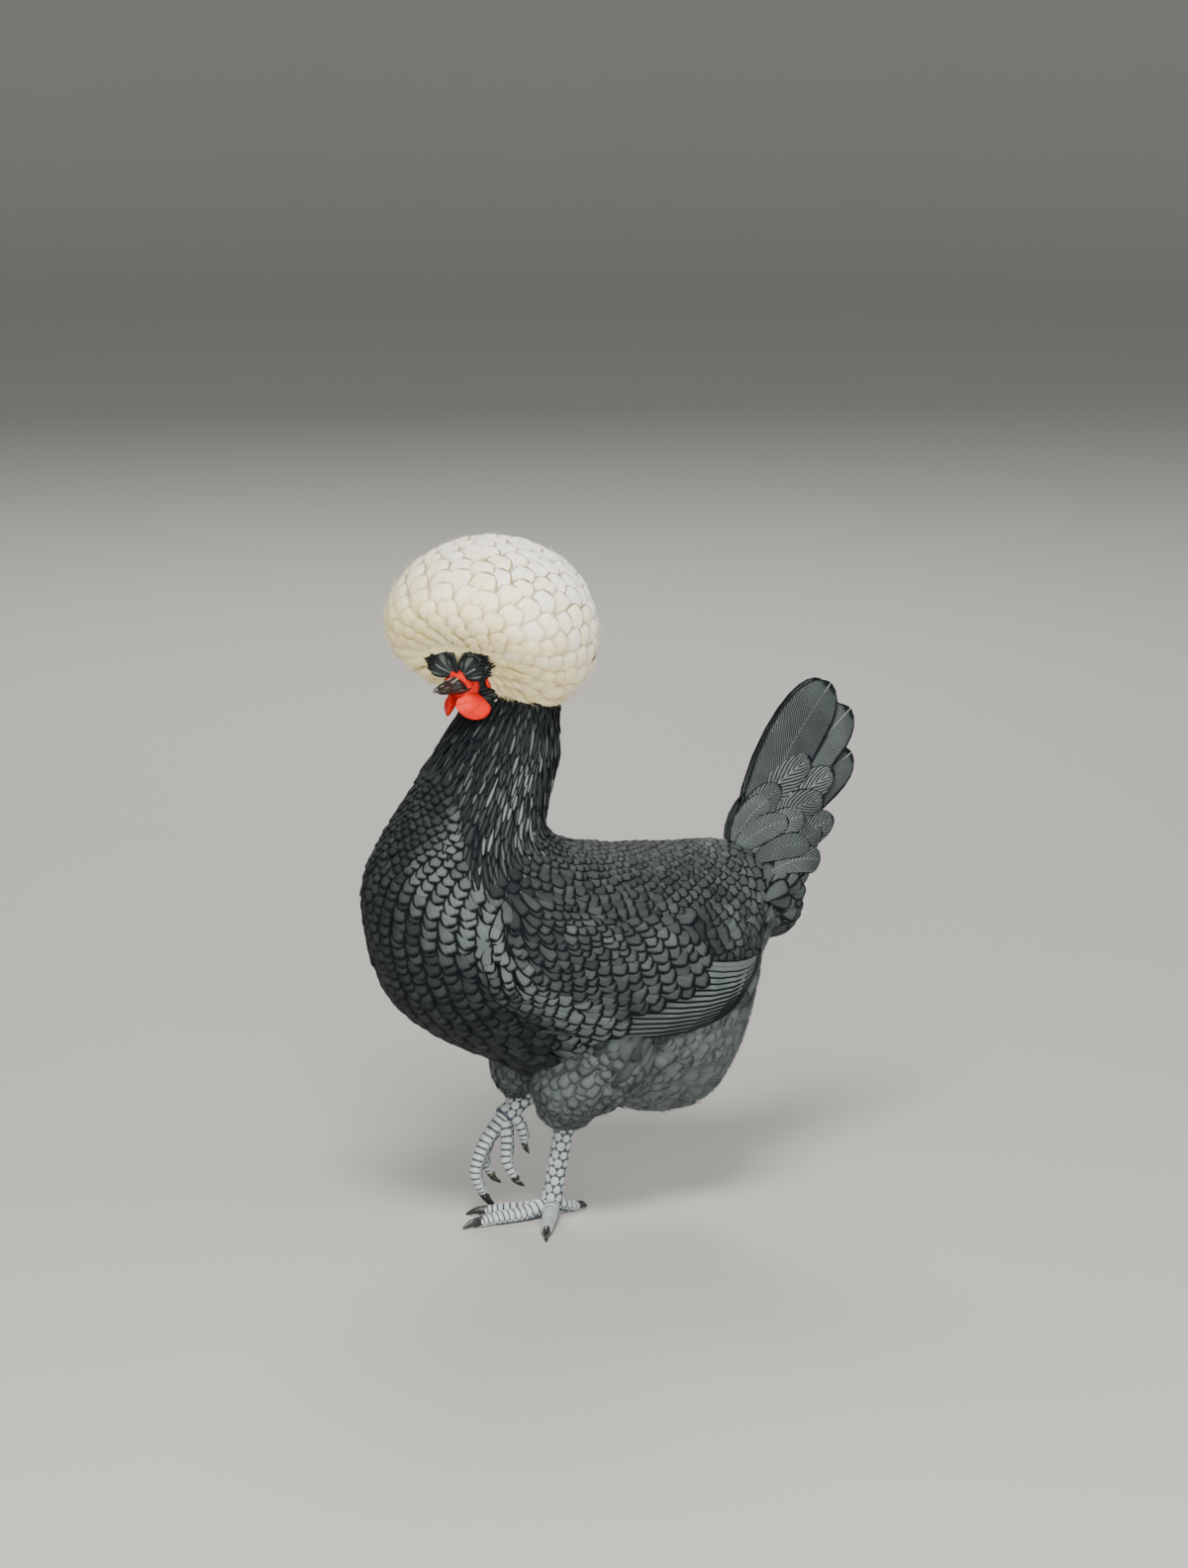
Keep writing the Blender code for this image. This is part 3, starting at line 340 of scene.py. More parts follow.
def tract(form, span, round_span, along, across, anchor):
    """Roots of feathers in staggered rows, spaced by the gaps that along and across give.

    Rows follow the form's length, and each row is counted out from the anchor. Returns each
    root's place along the form and round it.
    """
    lines = np.linspace(*span, 180)
    turns = np.linspace(*round_span, 120)
    t, a = np.meshgrid(lines, turns, indexing="ij")
    points = form.point(t, a)
    steps = np.linalg.norm(np.diff(points, axis=0), axis=-1) / (along(t[1:], a[1:]) * MM)
    counts = np.vstack([np.zeros(len(turns)), np.cumsum(steps, axis=0)])
    roots = []
    for row in range(int(counts.max()) + 1):
        places = np.array([np.interp(row, counts[:, j], lines) for j in range(len(turns))])
        held = row <= counts[-1]
        ring = form.point(places, turns)
        gaps = np.linalg.norm(np.diff(ring, axis=0), axis=-1) / (across(places[1:], turns[1:]) * MM)
        walk = np.concatenate([[0], np.cumsum(gaps)])
        walk -= np.interp(anchor, turns, walk)
        marks = np.arange(math.ceil(walk[0]) - 1, math.floor(walk[-1]) + 1) + 0.5 * (row % 2)
        marks = marks[(marks >= walk[0]) & (marks <= walk[-1])]
        angle = np.interp(marks, walk, turns)
        keep = np.interp(angle, turns, held.astype(float)) > 0.99
        roots.append(np.stack([np.interp(angle, turns, places), angle], -1)[keep])
    found = np.concatenate(roots)
    return found[:, 0], found[:, 1]


def column(values, n):
    """A value for each of n shapes, or one for all, as a column."""
    return np.broadcast_to(values, (n,))[:, None]


def paces(form, t, a):
    """How far a form's surface runs for a step along it and for one round it, as columns."""
    return (np.linalg.norm(way(t, a), axis=-1)[:, None] for way in (form.along, form.around))


def laid(form, t, a, length, outline, sunk, lift, turn=0.0, curl=0.0, rise=1.0):
    """Shafts of feathers that follow a form from their roots, and the way up along each."""
    s = np.array(outline)[:, 0]
    along, around = paces(form, t, a)
    length, turn, sunk, lift, curl = (column(value, len(t)) for value in (length, turn, sunk, lift, curl))
    run = length * MM * s
    places = t[:, None] + run * np.cos(turn) / along
    angles = a[:, None] + run * np.sin(turn) / np.maximum(around, 1e-5)
    up = form.normal(places, angles)
    height = sunk + (lift - sunk) * s**rise - curl * s**5
    return form.point(places, angles) + up * (height * MM)[..., None], up


class Batch:
    """Like feathers: their shafts and the ways up, half widths, outline, tones and places to bake."""

    def __init__(self, shafts, half, outline, tone, bake):
        self.shaft, self.up = shafts
        self.half, self.tone = (np.broadcast_to(value, len(self.shaft)) for value in (half, tone))
        self.outline, self.bake = np.array(outline), bake

    def only(self, mask):
        """The chosen feathers of the batch."""
        shafts = (self.shaft[mask], self.up[mask])
        return Batch(shafts, self.half[mask], self.outline, self.tone[mask], self.bake[mask])

    def frame(self):
        """The way along each shaft, the way to its side, and half the feather's width there, in metres."""
        run = unit(np.gradient(self.shaft, axis=1))
        half = self.half[:, None] * self.outline[:, 1] * MM
        return run, unit(np.cross(run, self.up)), half


class Coat:
    """Gathers feathers, barbs and plates, and makes them one mesh."""

    def __init__(self, rng):
        self.rng = rng
        self.points, self.corners, self.sizes = [], [], []
        self.maps, self.bakes, self.tones, self.wilds = [], [], [], []
        self.count = 0

    def add(self, points, faces, uv, bake, tone, wild=None):
        """Adds n like shapes: points is (n, k, 3), and faces are corners of one shape."""
        n, k, _ = points.shape
        wild = self.rng.random(n) if wild is None else wild
        flat = np.concatenate([np.array(face) for face in faces])
        corners = (flat[None, :] + (np.arange(n) * k)[:, None]).ravel()
        uv = np.broadcast_to(uv, (n, k, 2))
        spot = bake[:, None, :] + (uv - 0.5) * BAKE_PATCH
        self.points.append(points.reshape(-1, 3))
        self.corners.append(corners + self.count)
        self.sizes.append(np.tile([len(face) for face in faces], n))
        self.maps.append(uv.reshape(-1, 2)[corners])
        self.bakes.append(spot.reshape(-1, 2)[corners])
        self.tones.append(np.repeat(np.broadcast_to(tone, (n,)), k))
        self.wilds.append(np.repeat(np.broadcast_to(wild, (n,)), k))
        self.count += n * k

    def vanes(self, batch, camber=0.16, thick=0.3, across=5, tilt=0.0):
        """Adds feathers: thin closed vanes, raised along their shafts."""
        run, side, half = batch.frame()
        rise = np.cross(side, run)
        level, steep = math.cos(tilt), math.sin(tilt)
        side, rise = side * level + rise * steep, rise * level - side * steep
        w = np.linspace(-1, 1, across)
        top = batch.shaft[:, :, None] + side[:, :, None] * (w * half[..., None])[..., None]
        top = top + rise[:, :, None] * (camber * half[..., None] * (1 - w**2))[..., None]
        points = np.concatenate([top, (batch.shaft - rise * thick * MM)[:, :, None]], axis=2)
        s = batch.outline[:, 0]
        uv = np.stack(np.broadcast_arrays((w * 0.5 + 0.5)[None, :], s[:, None]), -1)
        middle = np.stack([np.full(len(s), 0.5), s], -1)[:, None]
        uv = np.concatenate([uv, middle], axis=1).reshape(1, -1, 2)
        self.add(points.reshape(len(points), -1, 3), vane_faces(len(s), across), uv, batch.bake, batch.tone)

    def barbs(self, batch, tone, count=8, length=3.0, wide=0.35, start=0.45, fan=0.7, stand=0.02):
        """Adds loose barbs along both edges of feathers: thin spikes that run out and on."""
        n = len(batch.shaft)
        run, side, half = batch.frame()
        s = batch.outline[:, 0]
        for k in range(count):
            place = start + (1 - start) * (k + 0.5) / count
            i = int(np.searchsorted(s, place) - 1)
            f = (place - s[i]) / (s[i + 1] - s[i])
            base = batch.shaft[:, i] * (1 - f) + batch.shaft[:, i + 1] * f
            wide_here = (half[:, i] * (1 - f) + half[:, i + 1] * f)[:, None]
            up = batch.up[:, i]
            for hand in (LEFT, RIGHT):
                lean = fan * (1 - 0.75 * place) + self.rng.normal(0, 0.14, n)
                out = run[:, i] * np.cos(lean)[:, None] + side[:, i] * (hand * np.sin(lean))[:, None]
                out = unit(out + up * self.rng.normal(stand, 0.1, n)[:, None])
                root = base + side[:, i] * hand * wide_here * 0.86
                flat = unit(np.cross(out, up)) * wide * MM
                reach = (length * self.rng.uniform(0.6, 1.15, n) * MM)[:, None]
                below = root - up * wide * 0.8 * MM
                points = np.stack([root - flat, root + flat, below, root + out * reach], 1)
                self.add(points, BARB_FACES, BARB_UV, batch.bake, tone)

    def quills(self, batch, radius, tone, lift):
        """Adds the raised quill along each long feather: a thin tapered bar of four sides."""
        n, m, _ = batch.shaft.shape
        side = batch.frame()[1]
        taper = np.linspace(1, 0.25, m)[None, :, None] * radius * MM
        centre = batch.shaft + batch.up * (column(lift, n) * MM * np.linspace(1, 0.4, m))[..., None]
        ways = (-side, batch.up, side, -batch.up)
        points = np.stack([centre + way * taper for way in ways], 2).reshape(n, -1, 3)
        s = np.linspace(0, 0.7, m)
        uv = np.stack([np.full((m, 4), 0.5), np.repeat(s[:, None], 4, 1)], -1).reshape(1, -1, 2)
        self.add(points, tube_faces(m, 4), uv, batch.bake, tone)

    def make(self, name, material, slot, replaces=()):
        """The gathered shapes as one object, riding on the hen."""
        mesh = bpy.data.meshes.new(name)
        points = np.concatenate(self.points)
        corners = np.concatenate(self.corners)
        sizes = np.concatenate(self.sizes)
        mesh.vertices.add(len(points))
        mesh.vertices.foreach_set("co", points.astype(np.float32).ravel())
        mesh.loops.add(len(corners))
        mesh.loops.foreach_set("vertex_index", corners.astype(np.int32))
        mesh.polygons.add(len(sizes))
        mesh.polygons.foreach_set("loop_start", (np.cumsum(sizes) - sizes).astype(np.int32))
        mesh.update(calc_edges=True)
        for title, maps in (("Feather", self.maps), ("OFBake", self.bakes)):
            layer = mesh.uv_layers.new(name=title)
            layer.data.foreach_set("uv", np.concatenate(maps).astype(np.float32).ravel())
        for title, values in (("tone", self.tones), ("wild", self.wilds)):
            layer = mesh.attributes.new(title, "FLOAT", "POINT")
            layer.data.foreach_set("value", np.concatenate(values).astype(np.float32))
        mesh.shade_smooth()
        mesh.set_sharp_from_angle(angle=math.radians(60))
        return finished(name, mesh, material, replaces)


def vane_faces(m, across):
    """The faces of one vane of m sections: its top, its two lower flanks and its ends."""
    size = across + 1
    faces = []
    for i in range(m - 1):
        one, two = i * size, (i + 1) * size
        for j in range(across - 1):
            faces.append((one + j, one + j + 1, two + j + 1, two + j))
        faces.append((one, two, two + across, one + across))
        faces.append((one + across - 1, one + across, two + across, two + across - 1))
    faces.append(tuple(range(size))[::-1])
    last = (m - 1) * size
    faces.append(tuple(range(last, last + size)))
    return faces


def walls(rows, sides):
    """The side faces of a bar of rings, each ring of so many points."""
    faces = []
    for i in range(rows - 1):
        for j in range(sides):
            one, after = i * sides + j, i * sides + (j + 1) % sides
            faces.append((one, after, after + sides, one + sides))
    return faces


def tube_faces(rows, sides):
    """The faces of a closed bar of rings."""
    last = (rows - 1) * sides
    return walls(rows, sides) + [tuple(range(sides))[::-1], tuple(range(last, last + sides))]


def finished(name, mesh, material, replaces=()):
    """Links a mesh as a piece of the hen."""
    piece = bpy.data.objects.new(name, mesh)
    bpy.context.scene.collection.objects.link(piece)
    mesh.materials.clear()
    mesh.materials.append(material)
    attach(piece, "root")
    if replaces:
        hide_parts(*replaces)
    return piece


def from_bmesh(name, bm, material, replaces=(), levels=0, sharp=60):
    """Ends a bmesh as a piece, with its normals out and its faces smooth."""
    bmesh.ops.remove_doubles(bm, verts=bm.verts[:], dist=1e-6)
    bmesh.ops.recalc_face_normals(bm, faces=bm.faces[:])
    mesh = bpy.data.meshes.new(name)
    bm.to_mesh(mesh)
    bm.free()
    mesh.shade_smooth()
    if not levels:
        mesh.set_sharp_from_angle(angle=math.radians(sharp))
    piece = finished(name, mesh, material, replaces)
    if levels:
        soft = piece.modifiers.new("soft", "SUBSURF")
        soft.levels = levels
        soft.render_levels = levels
    return piece


def drawn(bm, rings):
    """Draws a closed bar through rings of points, by extruding a capped circle."""
    count = len(rings[0])
    face = bmesh.ops.create_circle(bm, cap_ends=True, segments=count, radius=1)["verts"][0].link_faces[0]
    loop = list(face.verts)
    for vert, place in zip(loop, rings[0]):
        vert.co = Vector(place)
    for ring in rings[1:]:
        grown = bmesh.ops.extrude_face_region(bm, geom=[face])["geom"]
        fresh = [part for part in grown if isinstance(part, bmesh.types.BMVert)]
        face = next(part for part in grown if isinstance(part, bmesh.types.BMFace))
        ordered = [min(fresh, key=lambda v, old=old: (v.co - old.co).length) for old in loop]
        for vert, place in zip(ordered, ring):
            vert.co = Vector(place)
        loop = ordered
    return bm


def spun(bm, geom, steps):
    """Turns geometry once round the upright axis."""
    bmesh.ops.spin(bm, geom=geom, axis=(0, 0, 1), cent=(0, 0, 0), angle=FULL_TURN, steps=steps, use_merge=True)


def rings_along(line, radii, sides, up=(0, 0, 1), flat=1.0):
    """Rings of points round a line of points, tapered by their radii."""
    line = np.asarray(line, float)
    run = unit(np.gradient(line, axis=0))
    side = unit(np.cross(run, np.asarray(up, float)))
    rise = np.cross(side, run)
    turn = FULL_TURN * np.arange(sides) / sides
    ring = side[:, None] * (np.cos(turn) * flat)[None, :, None] + rise[:, None] * np.sin(turn)[None, :, None]
    return line[:, None] + ring * np.asarray(radii)[:, None, None]


# Shader helpers

class Number:
    """A number in a shader: what is added, subtracted or multiplied becomes a maths node."""

    def __init__(self, socket):
        self.socket = socket
        self.tree = socket.id_data

    def maths(self, operation, *others):
        """One maths node on this number and the others."""
        return maths(self.tree, operation, self, *others)

    def stepped(self, low, high):
        """A smooth step from low to high."""
        ends = {"Value": self, "From Min": low, "From Max": high}
        made = wire(self.tree, "ShaderNodeMapRange", ends, interpolation_type="SMOOTHSTEP")
        return Number(made.outputs["Result"])

    def clamped(self):
        """The same number, held between 0 and 1."""
        self.socket.node.use_clamp = True
        return self

    def __add__(self, other):
        return self.maths("ADD", other)

    def __mul__(self, other):
        return self.maths("MULTIPLY", other)

    def __sub__(self, other):
        return self.maths("SUBTRACT", other)

    def __rsub__(self, other):
        return maths(self.tree, "SUBTRACT", other, self)

    __radd__ = __add__


def wire(tree, kind, inputs=None, **settings):
    """Adds a shader node; each input is a value, a number or another node's output."""
    made = tree.nodes.new(kind)
    for key, value in settings.items():
        setattr(made, key, value)
    for key, value in (inputs or {}).items():
        if isinstance(value, Number):
            value = value.socket
        if isinstance(value, bpy.types.NodeSocket):
            tree.links.new(value, made.inputs[key])
        else:
            made.inputs[key].default_value = value
    return made


def maths(tree, operation, *values):
    """The number that one maths node gives."""
    return Number(wire(tree, "ShaderNodeMath", dict(enumerate(values)), operation=operation).outputs[0])


def mixed(share, one, two):
    """A colour between two colours, each of three parts or another node's output."""
    one, two = (end if isinstance(end, bpy.types.NodeSocket) else (*end, 1) for end in (one, two))
    return wire(share.tree, "ShaderNodeMix", {0: share, 6: one, 7: two}, data_type="RGBA").outputs[2]


def object_place(tree):
    """The place in the piece's own coordinates."""
    return wire(tree, "ShaderNodeTexCoord").outputs["Object"]


def parts_of(vector):
    """The three numbers of a vector."""
    made = wire(vector.id_data, "ShaderNodeSeparateXYZ", {0: vector})
    return [Number(part) for part in made.outputs]


def noise_on(vector, scale, detail):
    """Noise over a vector."""
    made = wire(vector.id_data, "ShaderNodeTexNoise", {"Vector": vector, "Scale": scale, "Detail": detail})
    return Number(made.outputs["Fac"])


def attribute(tree, name):
    """The value of a piece's own attribute."""
    return Number(wire(tree, "ShaderNodeAttribute", attribute_name=name).outputs["Fac"])


def new_group(name, inputs, outputs):
    """A shader group with named numbers: the group, the numbers it is given, and its output node."""
    group = bpy.data.node_groups.new(name, "ShaderNodeTree")
    for title, default in inputs.items():
        socket = group.interface.new_socket(name=title, in_out="INPUT", socket_type="NodeSocketFloat")
        socket.default_value = default
    for title in outputs:
        group.interface.new_socket(name=title, in_out="OUTPUT", socket_type="NodeSocketFloat")
    given = group.nodes.new("NodeGroupInput")
    return group, {title: Number(given.outputs[title]) for title in inputs}, group.nodes.new("NodeGroupOutput")


def placed_group(tree, group, **values):
    """The numbers that a group gives for its inputs."""
    made = tree.nodes.new("ShaderNodeGroup")
    made.node_tree = group
    for key, value in values.items():
        made.inputs[key].default_value = value
    return {socket.name: Number(socket) for socket in made.outputs}


def feather_marks():
    """Masks of a feather's rim, shaft and barbs, read from its own UV map."""
    found = bpy.data.node_groups.get("Feather marks")
    if found:
        return found
    usual = {"Rim": 0.2, "Tip": 0.1, "Shaft": 0.07, "Barbs": 34.0, "Slant": 0.5}
    group, given, result = new_group("Feather marks", usual, ("Rim", "Shaft", "Barbs"))
    uv = wire(group, "ShaderNodeUVMap", uv_map="Feather").outputs[0]
    u, v, _ = parts_of(uv)
    across = u.maths("MULTIPLY_ADD", 2.0, -1.0).maths("ABSOLUTE")
    wobble = (noise_on(uv, 9.0, 2.0) - 0.5) * 0.12
    edge = (1.0 - across + wobble).stepped(given["Rim"] * 0.4, given["Rim"])
    end = (1.0 - v + wobble * 0.4).stepped(given["Tip"] * 0.4, given["Tip"])
    phase = v - across * given["Slant"] + wobble * 0.3
    wave = (phase * (given["Barbs"] * 6.2832)).maths("SINE")
    masks = {
        "Rim": 1.0 - edge.maths("MINIMUM", end),
        "Shaft": 1.0 - across.stepped(0.0, given["Shaft"]),
        "Barbs": wave.maths("MULTIPLY_ADD", 0.5, 0.5),
    }
    for title, value in masks.items():
        group.links.new(value.socket, result.inputs[title])
    return group


def mottle():
    """Fine and broad unevenness on Object coordinates, as numbers about zero."""
    found = bpy.data.node_groups.get("Mottle")
    if found:
        return found
    group, given, result = new_group("Mottle", {"Fine": 900.0, "Broad": 60.0}, ("Fine", "Broad", "Fleck"))
    place = object_place(group)
    fine, broad = (noise_on(place, given[title], 3.0) for title in ("Fine", "Broad"))
    for title, value in (("Fine", fine - 0.5), ("Broad", broad - 0.5), ("Fleck", fine.stepped(0.58, 0.7))):
        group.links.new(value.socket, result.inputs[title])
    return group


def new_material(name, roughness=0.5, **fixed):
    """An empty material with its Principled shader; fixed sets the shader's plain sockets."""
    material = bpy.data.materials.new(name)
    material.use_nodes = True
    shader = material.node_tree.nodes["Principled BSDF"]
    shader.inputs["Roughness"].default_value = roughness
    for key, value in fixed.items():
        shader.inputs[key.replace("_", " ")].default_value = value
    return material, material.node_tree, shader


def surfaced(shader, base, rough=None, height=None, strength=1.0, distance=1.0):
    """Feeds a colour, a roughness and a bump into a shader."""
    links = shader.id_data.links
    links.new(base, shader.inputs["Base Color"])
    if rough:
        links.new(rough.socket, shader.inputs["Roughness"])
    if height:
        inputs = {"Height": height, "Strength": strength, "Distance": distance}
        links.new(wire(shader.id_data, "ShaderNodeBump", inputs).outputs[0], shader.inputs["Normal"])


def plumage(
    name, tint=1.0, rim=0.44, tip=0.2, shaft_width=0.08, barbs=34.0, slant=0.5, fleck=0.12, streaks=0.3,
    rim_depth=1.0, lines=0.6,
):
    """Black plumage: grey feather faces, brighter by the tint, with dark rims and fine barbs; the dark rims
    are partly painted contact shade where feathers overlap.
    """
    found = bpy.data.materials.get(name)
    if found:
        return found
    colours = bpy.context.scene.hen_colours
    material, tree, shader = new_material(name, 0.6, Specular_IOR_Level=0.1)
    marks = placed_group(tree, feather_marks(), Rim=rim, Tip=tip, Shaft=shaft_width, Barbs=barbs, Slant=slant)
    uneven = placed_group(tree, mottle())
    tone, wild = attribute(tree, "tone"), attribute(tree, "wild")
    # Rim darkening: partly the feathers' own dark edges, partly painted contact shade where each feather
    # overlaps the next.
    lit = 1.0 - marks["Rim"] * rim_depth
    streak = marks["Barbs"].maths("MULTIPLY_ADD", lines, 0.94 - lines / 2)
    vary = wild.maths("MULTIPLY_ADD", 0.5, 0.72) * (1.0 + uneven["Broad"] * 1.3)
    share = lit * streak * vary * tone + uneven["Fleck"] * fleck
    base = mixed(share.clamped(), colours.feather_deep, [tint * part for part in colours.feather_face])
    pale = marks["Shaft"] * (tone * (wild + 0.2)) * streaks * lit
    base = mixed(pale.clamped(), base, colours.feather_shaft)
    green = uneven["Broad"].stepped(0.04, 0.2) * 0.2 * tone * lit
    base = mixed(green, base, colours.sheen)
    height = marks["Barbs"] + marks["Shaft"] * 1.6
    surfaced(shader, base, 0.62 + uneven["Fine"] * 0.5, height, 0.55, 0.00025)
    return material


def black_plumage():
    """The plumage material of body, wing and tail coverts."""
    return plumage("Body plumage")


def soft_plumage():
    """The plumage material of fluffy parts: as the body's, with faint rims."""
    return plumage("Soft plumage", rim=0.6, tip=0.24, barbs=26.0, streaks=0.12, rim_depth=0.62)


def crest_white():
    """White crest feathers: cream low and in front, with thin ochre-grey rims."""
    colours = bpy.context.scene.hen_colours
    material, tree, shader = new_material("White crest", 0.75, Sheen_Weight=0.2, Specular_IOR_Level=0.25)
    marks = placed_group(tree, feather_marks(), Rim=0.25, Tip=0.11, Shaft=0.05, Barbs=26.0, Slant=0.45)
    uneven = placed_group(tree, mottle(), Fine=1100.0, Broad=70.0)
    middle = CREST_CENTRE * MM + SHIFT
    x, _, z = parts_of(object_place(tree))
    light = (x - float(middle[0])) * 6.0 + (z - float(middle[2])) * 9.0 + uneven["Broad"]
    light = light + attribute(tree, "wild") * 0.3
    base = mixed(light.stepped(-0.3, 0.75), colours.crest_cream, colours.crest_white)
    rim = marks["Rim"].stepped(0.2, 0.8) * attribute(tree, "tone")
    for share in ((1.0 - marks["Barbs"]) * 0.16, marks["Shaft"] * 0.35, rim, uneven["Fleck"] * 0.12):
        base = mixed(share, base, colours.crest_rim)
    surfaced(shader, base, 0.75 + uneven["Fine"] * 0.3, marks["Barbs"], 0.4, 0.0002)
    return material


def flesh(name, colour, deep, scale=900.0, depth=0.0003):
    """Bare red or white skin: fine bumps, with a deeper colour painted into its hollows as shade."""
    material, tree, shader = new_material(
        name, 0.5, Subsurface_Weight=0.06, Subsurface_Radius=(0.004, 0.0015, 0.001), Subsurface_Scale=0.5,
        Specular_IOR_Level=0.18,
    )
    broad = placed_group(tree, mottle(), Fine=scale, Broad=160.0)["Broad"]
    inputs = {"Vector": object_place(tree), "Scale": scale}
    pebbles = Number(wire(tree, "ShaderNodeTexVoronoi", inputs, feature="SMOOTH_F1").outputs["Distance"])
    # Painted shade: the colour deepens in the hollows between the pebbles, where the bump is lowest.
    hollow = pebbles.stepped(0.35, 0.8)
    base = mixed((hollow * 0.45 + broad).clamped(), colour, deep)
    surfaced(shader, base, 0.5 + hollow * 0.25, 1.0 - pebbles + broad, 0.5, depth)
    return material


def skin_material():
    """The skin: dark under the plumage, and red round the face."""
    colours = bpy.context.scene.hen_colours
    material = flesh("Skin", colours.skin_red, colours.skin_deep)
    tree = material.node_tree
    shader = tree.nodes["Principled BSDF"]
    red = shader.inputs["Base Color"].links[0].from_socket
    ends = {0: object_place(tree), 1: tuple(head_point(21, 0, -1))}
    away = Number(wire(tree, "ShaderNodeVectorMath", ends, operation="DISTANCE").outputs["Value"])
    surfaced(shader, mixed(away.stepped(0.010, 0.0125), red, colours.feather_deep))
    return material


def horn(name, low, high):
    """Bill and claws: dark horn, paler from low to high along ridges that run out to the tip; the paler top is
    partly painted highlight.
    """
    colours = bpy.context.scene.hen_colours
    material, tree, shader = new_material(name, 0.32, Coat_Weight=0.15, Specular_IOR_Level=0.5)
    place = object_place(tree)
    broad = placed_group(tree, mottle(), Fine=1500.0, Broad=240.0)["Broad"]
    inputs = {"Vector": place, "Rotation": (0, 0, math.pi + HEAD_TURN), "Scale": (0.02, 0.0016, 0.0016)}
    grain = noise_on(wire(tree, "ShaderNodeMapping", inputs, vector_type="TEXTURE").outputs[0], 1.0, 4.0)
    # Paler towards the top: partly the horn's own pale streaks, partly painted highlight from above.
    light = parts_of(place)[2].stepped(low, high)
    share = ((0.3 + light) * (0.02 + grain.stepped(0.56, 0.68))).clamped()
    base = mixed((share + broad * 0.06).clamped(), colours.horn, colours.horn_pale)
    surfaced(shader, base, 0.3 + grain * 0.15, grain, 0.2, 0.0001)
    return material


def scale_material():
    """Leg scales and the hide between them; tone is 1 on a scale's face and 0 on the hide."""
    colours = bpy.context.scene.hen_colours
    material, tree, shader = new_material("Leg scales", 0.45, Specular_IOR_Level=0.45)
    uneven = placed_group(tree, mottle(), Fine=1600.0, Broad=180.0)
    share = attribute(tree, "tone").stepped(0.15, 0.85) + uneven["Broad"] * 0.9
    share = (share * (0.72 + attribute(tree, "wild") * 0.35)).clamped()
    base = mixed((share + uneven["Fine"] * 0.35).clamped(), colours.scale_deep, colours.scale)
    surfaced(shader, base, 0.45 + uneven["Fine"] * 0.5, uneven["Fine"], 0.4, 0.00025)
    return material


def eye_material():
    """The eye: a black pupil, a red-brown iris with fine rays, and a dark rim; tone runs from its middle."""
    colours = bpy.context.scene.hen_colours
    material, tree, shader = new_material("Eye", 0.06, Coat_Weight=1.0, Specular_IOR_Level=0.6)
    tone = attribute(tree, "tone")
    rays = noise_on(object_place(tree), 1800.0, 2.0)
    iris = mixed(rays.stepped(0.35, 0.7), colours.iris_deep, colours.iris)
    ring = mixed(tone.stepped(0.3, 0.36), (0.004, 0.003, 0.003), iris)
    surfaced(shader, mixed(tone.stepped(0.72, 0.82), ring, (0.02, 0.012, 0.01)))
    return material


def floor_material():
    """The pale studio floor."""
    floor = bpy.context.scene.hen_colours.floor
    material, tree, shader = new_material("Studio floor", 0.8)
    share = 0.5 + placed_group(tree, mottle(), Fine=300.0, Broad=3.0)["Broad"] * 0.4
    surfaced(shader, mixed(share, [0.93 * part for part in floor], floor))
    return material


def colour_prop(name, description, default):
    """A colour that a user would change."""
    return FloatVectorProperty(
        name=name, description=description, subtype="COLOR", size=3, min=0, max=1, default=default,
    )


def length_prop(name, description, default):
    """A length that a user would change, in metres."""
    return FloatProperty(name=name, description=description, default=default, min=0, unit="LENGTH")


class HenColours(bpy.types.PropertyGroup):
    """Colours of the hen and the studio."""

    feather_face: colour_prop("Feather face", "Grey face of a body feather", (0.108, 0.127, 0.126))
    feather_deep: colour_prop("Feather dark", "Rims and shaded plumage", (0.0035, 0.005, 0.0065))
    feather_shaft: colour_prop("Feather shaft", "Pale shafts and streaks", (0.24, 0.27, 0.25))
    sheen: colour_prop("Green sheen", "Green cast of black plumage", (0.02, 0.055, 0.035))
    crest_white: colour_prop("Crest white", "Clean crest feathers", (0.95, 0.935, 0.83))
    crest_cream: colour_prop("Crest cream", "Crest low down and in front", (0.96, 0.83, 0.42))
    crest_rim: colour_prop("Crest rim", "Thin rims of the crest feathers", (0.24, 0.19, 0.085))
    skin_red: colour_prop("Face red", "Comb, wattles and face", (0.68, 0.014, 0.005))
    # The face's dark red is painted shade, laid in the hollows of the red skin.
    skin_deep: colour_prop("Face dark red", "Hollows of the red skin", (0.2, 0.008, 0.006))
    horn: colour_prop("Horn", "Bill and claws", (0.01, 0.01, 0.011))
    # The pale horn is partly the ridges' own colour and partly painted highlight.
    horn_pale: colour_prop("Pale horn", "Ridges of the bill and claws", (0.3, 0.27, 0.22))
    scale: colour_prop("Leg scale", "Face of a leg scale", (0.42, 0.46, 0.45))
    scale_deep: colour_prop("Leg hide", "Hide between the leg scales", (0.035, 0.05, 0.07))
    iris: colour_prop("Iris", "Red-brown iris", (0.42, 0.1, 0.02))
    iris_deep: colour_prop("Iris dark", "Dark rays of the iris", (0.13, 0.02, 0.008))
    floor: colour_prop("Floor", "Pale studio floor", (0.4, 0.39, 0.37))


class HenSizes(bpy.types.PropertyGroup):
    """Sizes of the coat and the crest."""

    coat_depth: length_prop("Coat depth", "How deep the skin lies under the plumage", 0.0036)
    hackle_gap: length_prop("Hackle gap", "Room between hackles across the neck", 0.0036)
    scale_gap: length_prop("Feather gap", "Room between body feathers", 0.0074)
    crest_gap: length_prop("Crest gap", "Room between crest feathers", 0.0146)
    crest_row: length_prop("Crest row", "Room between rows of crest feathers", 0.0092)
    leg_scale: length_prop("Leg scale", "Size of a scale on the shank", 0.0056)
    tail_pairs: IntProperty(
        name="Tail pairs", description="Stiff tail feathers on each side", default=6, min=4, max=12,
    )


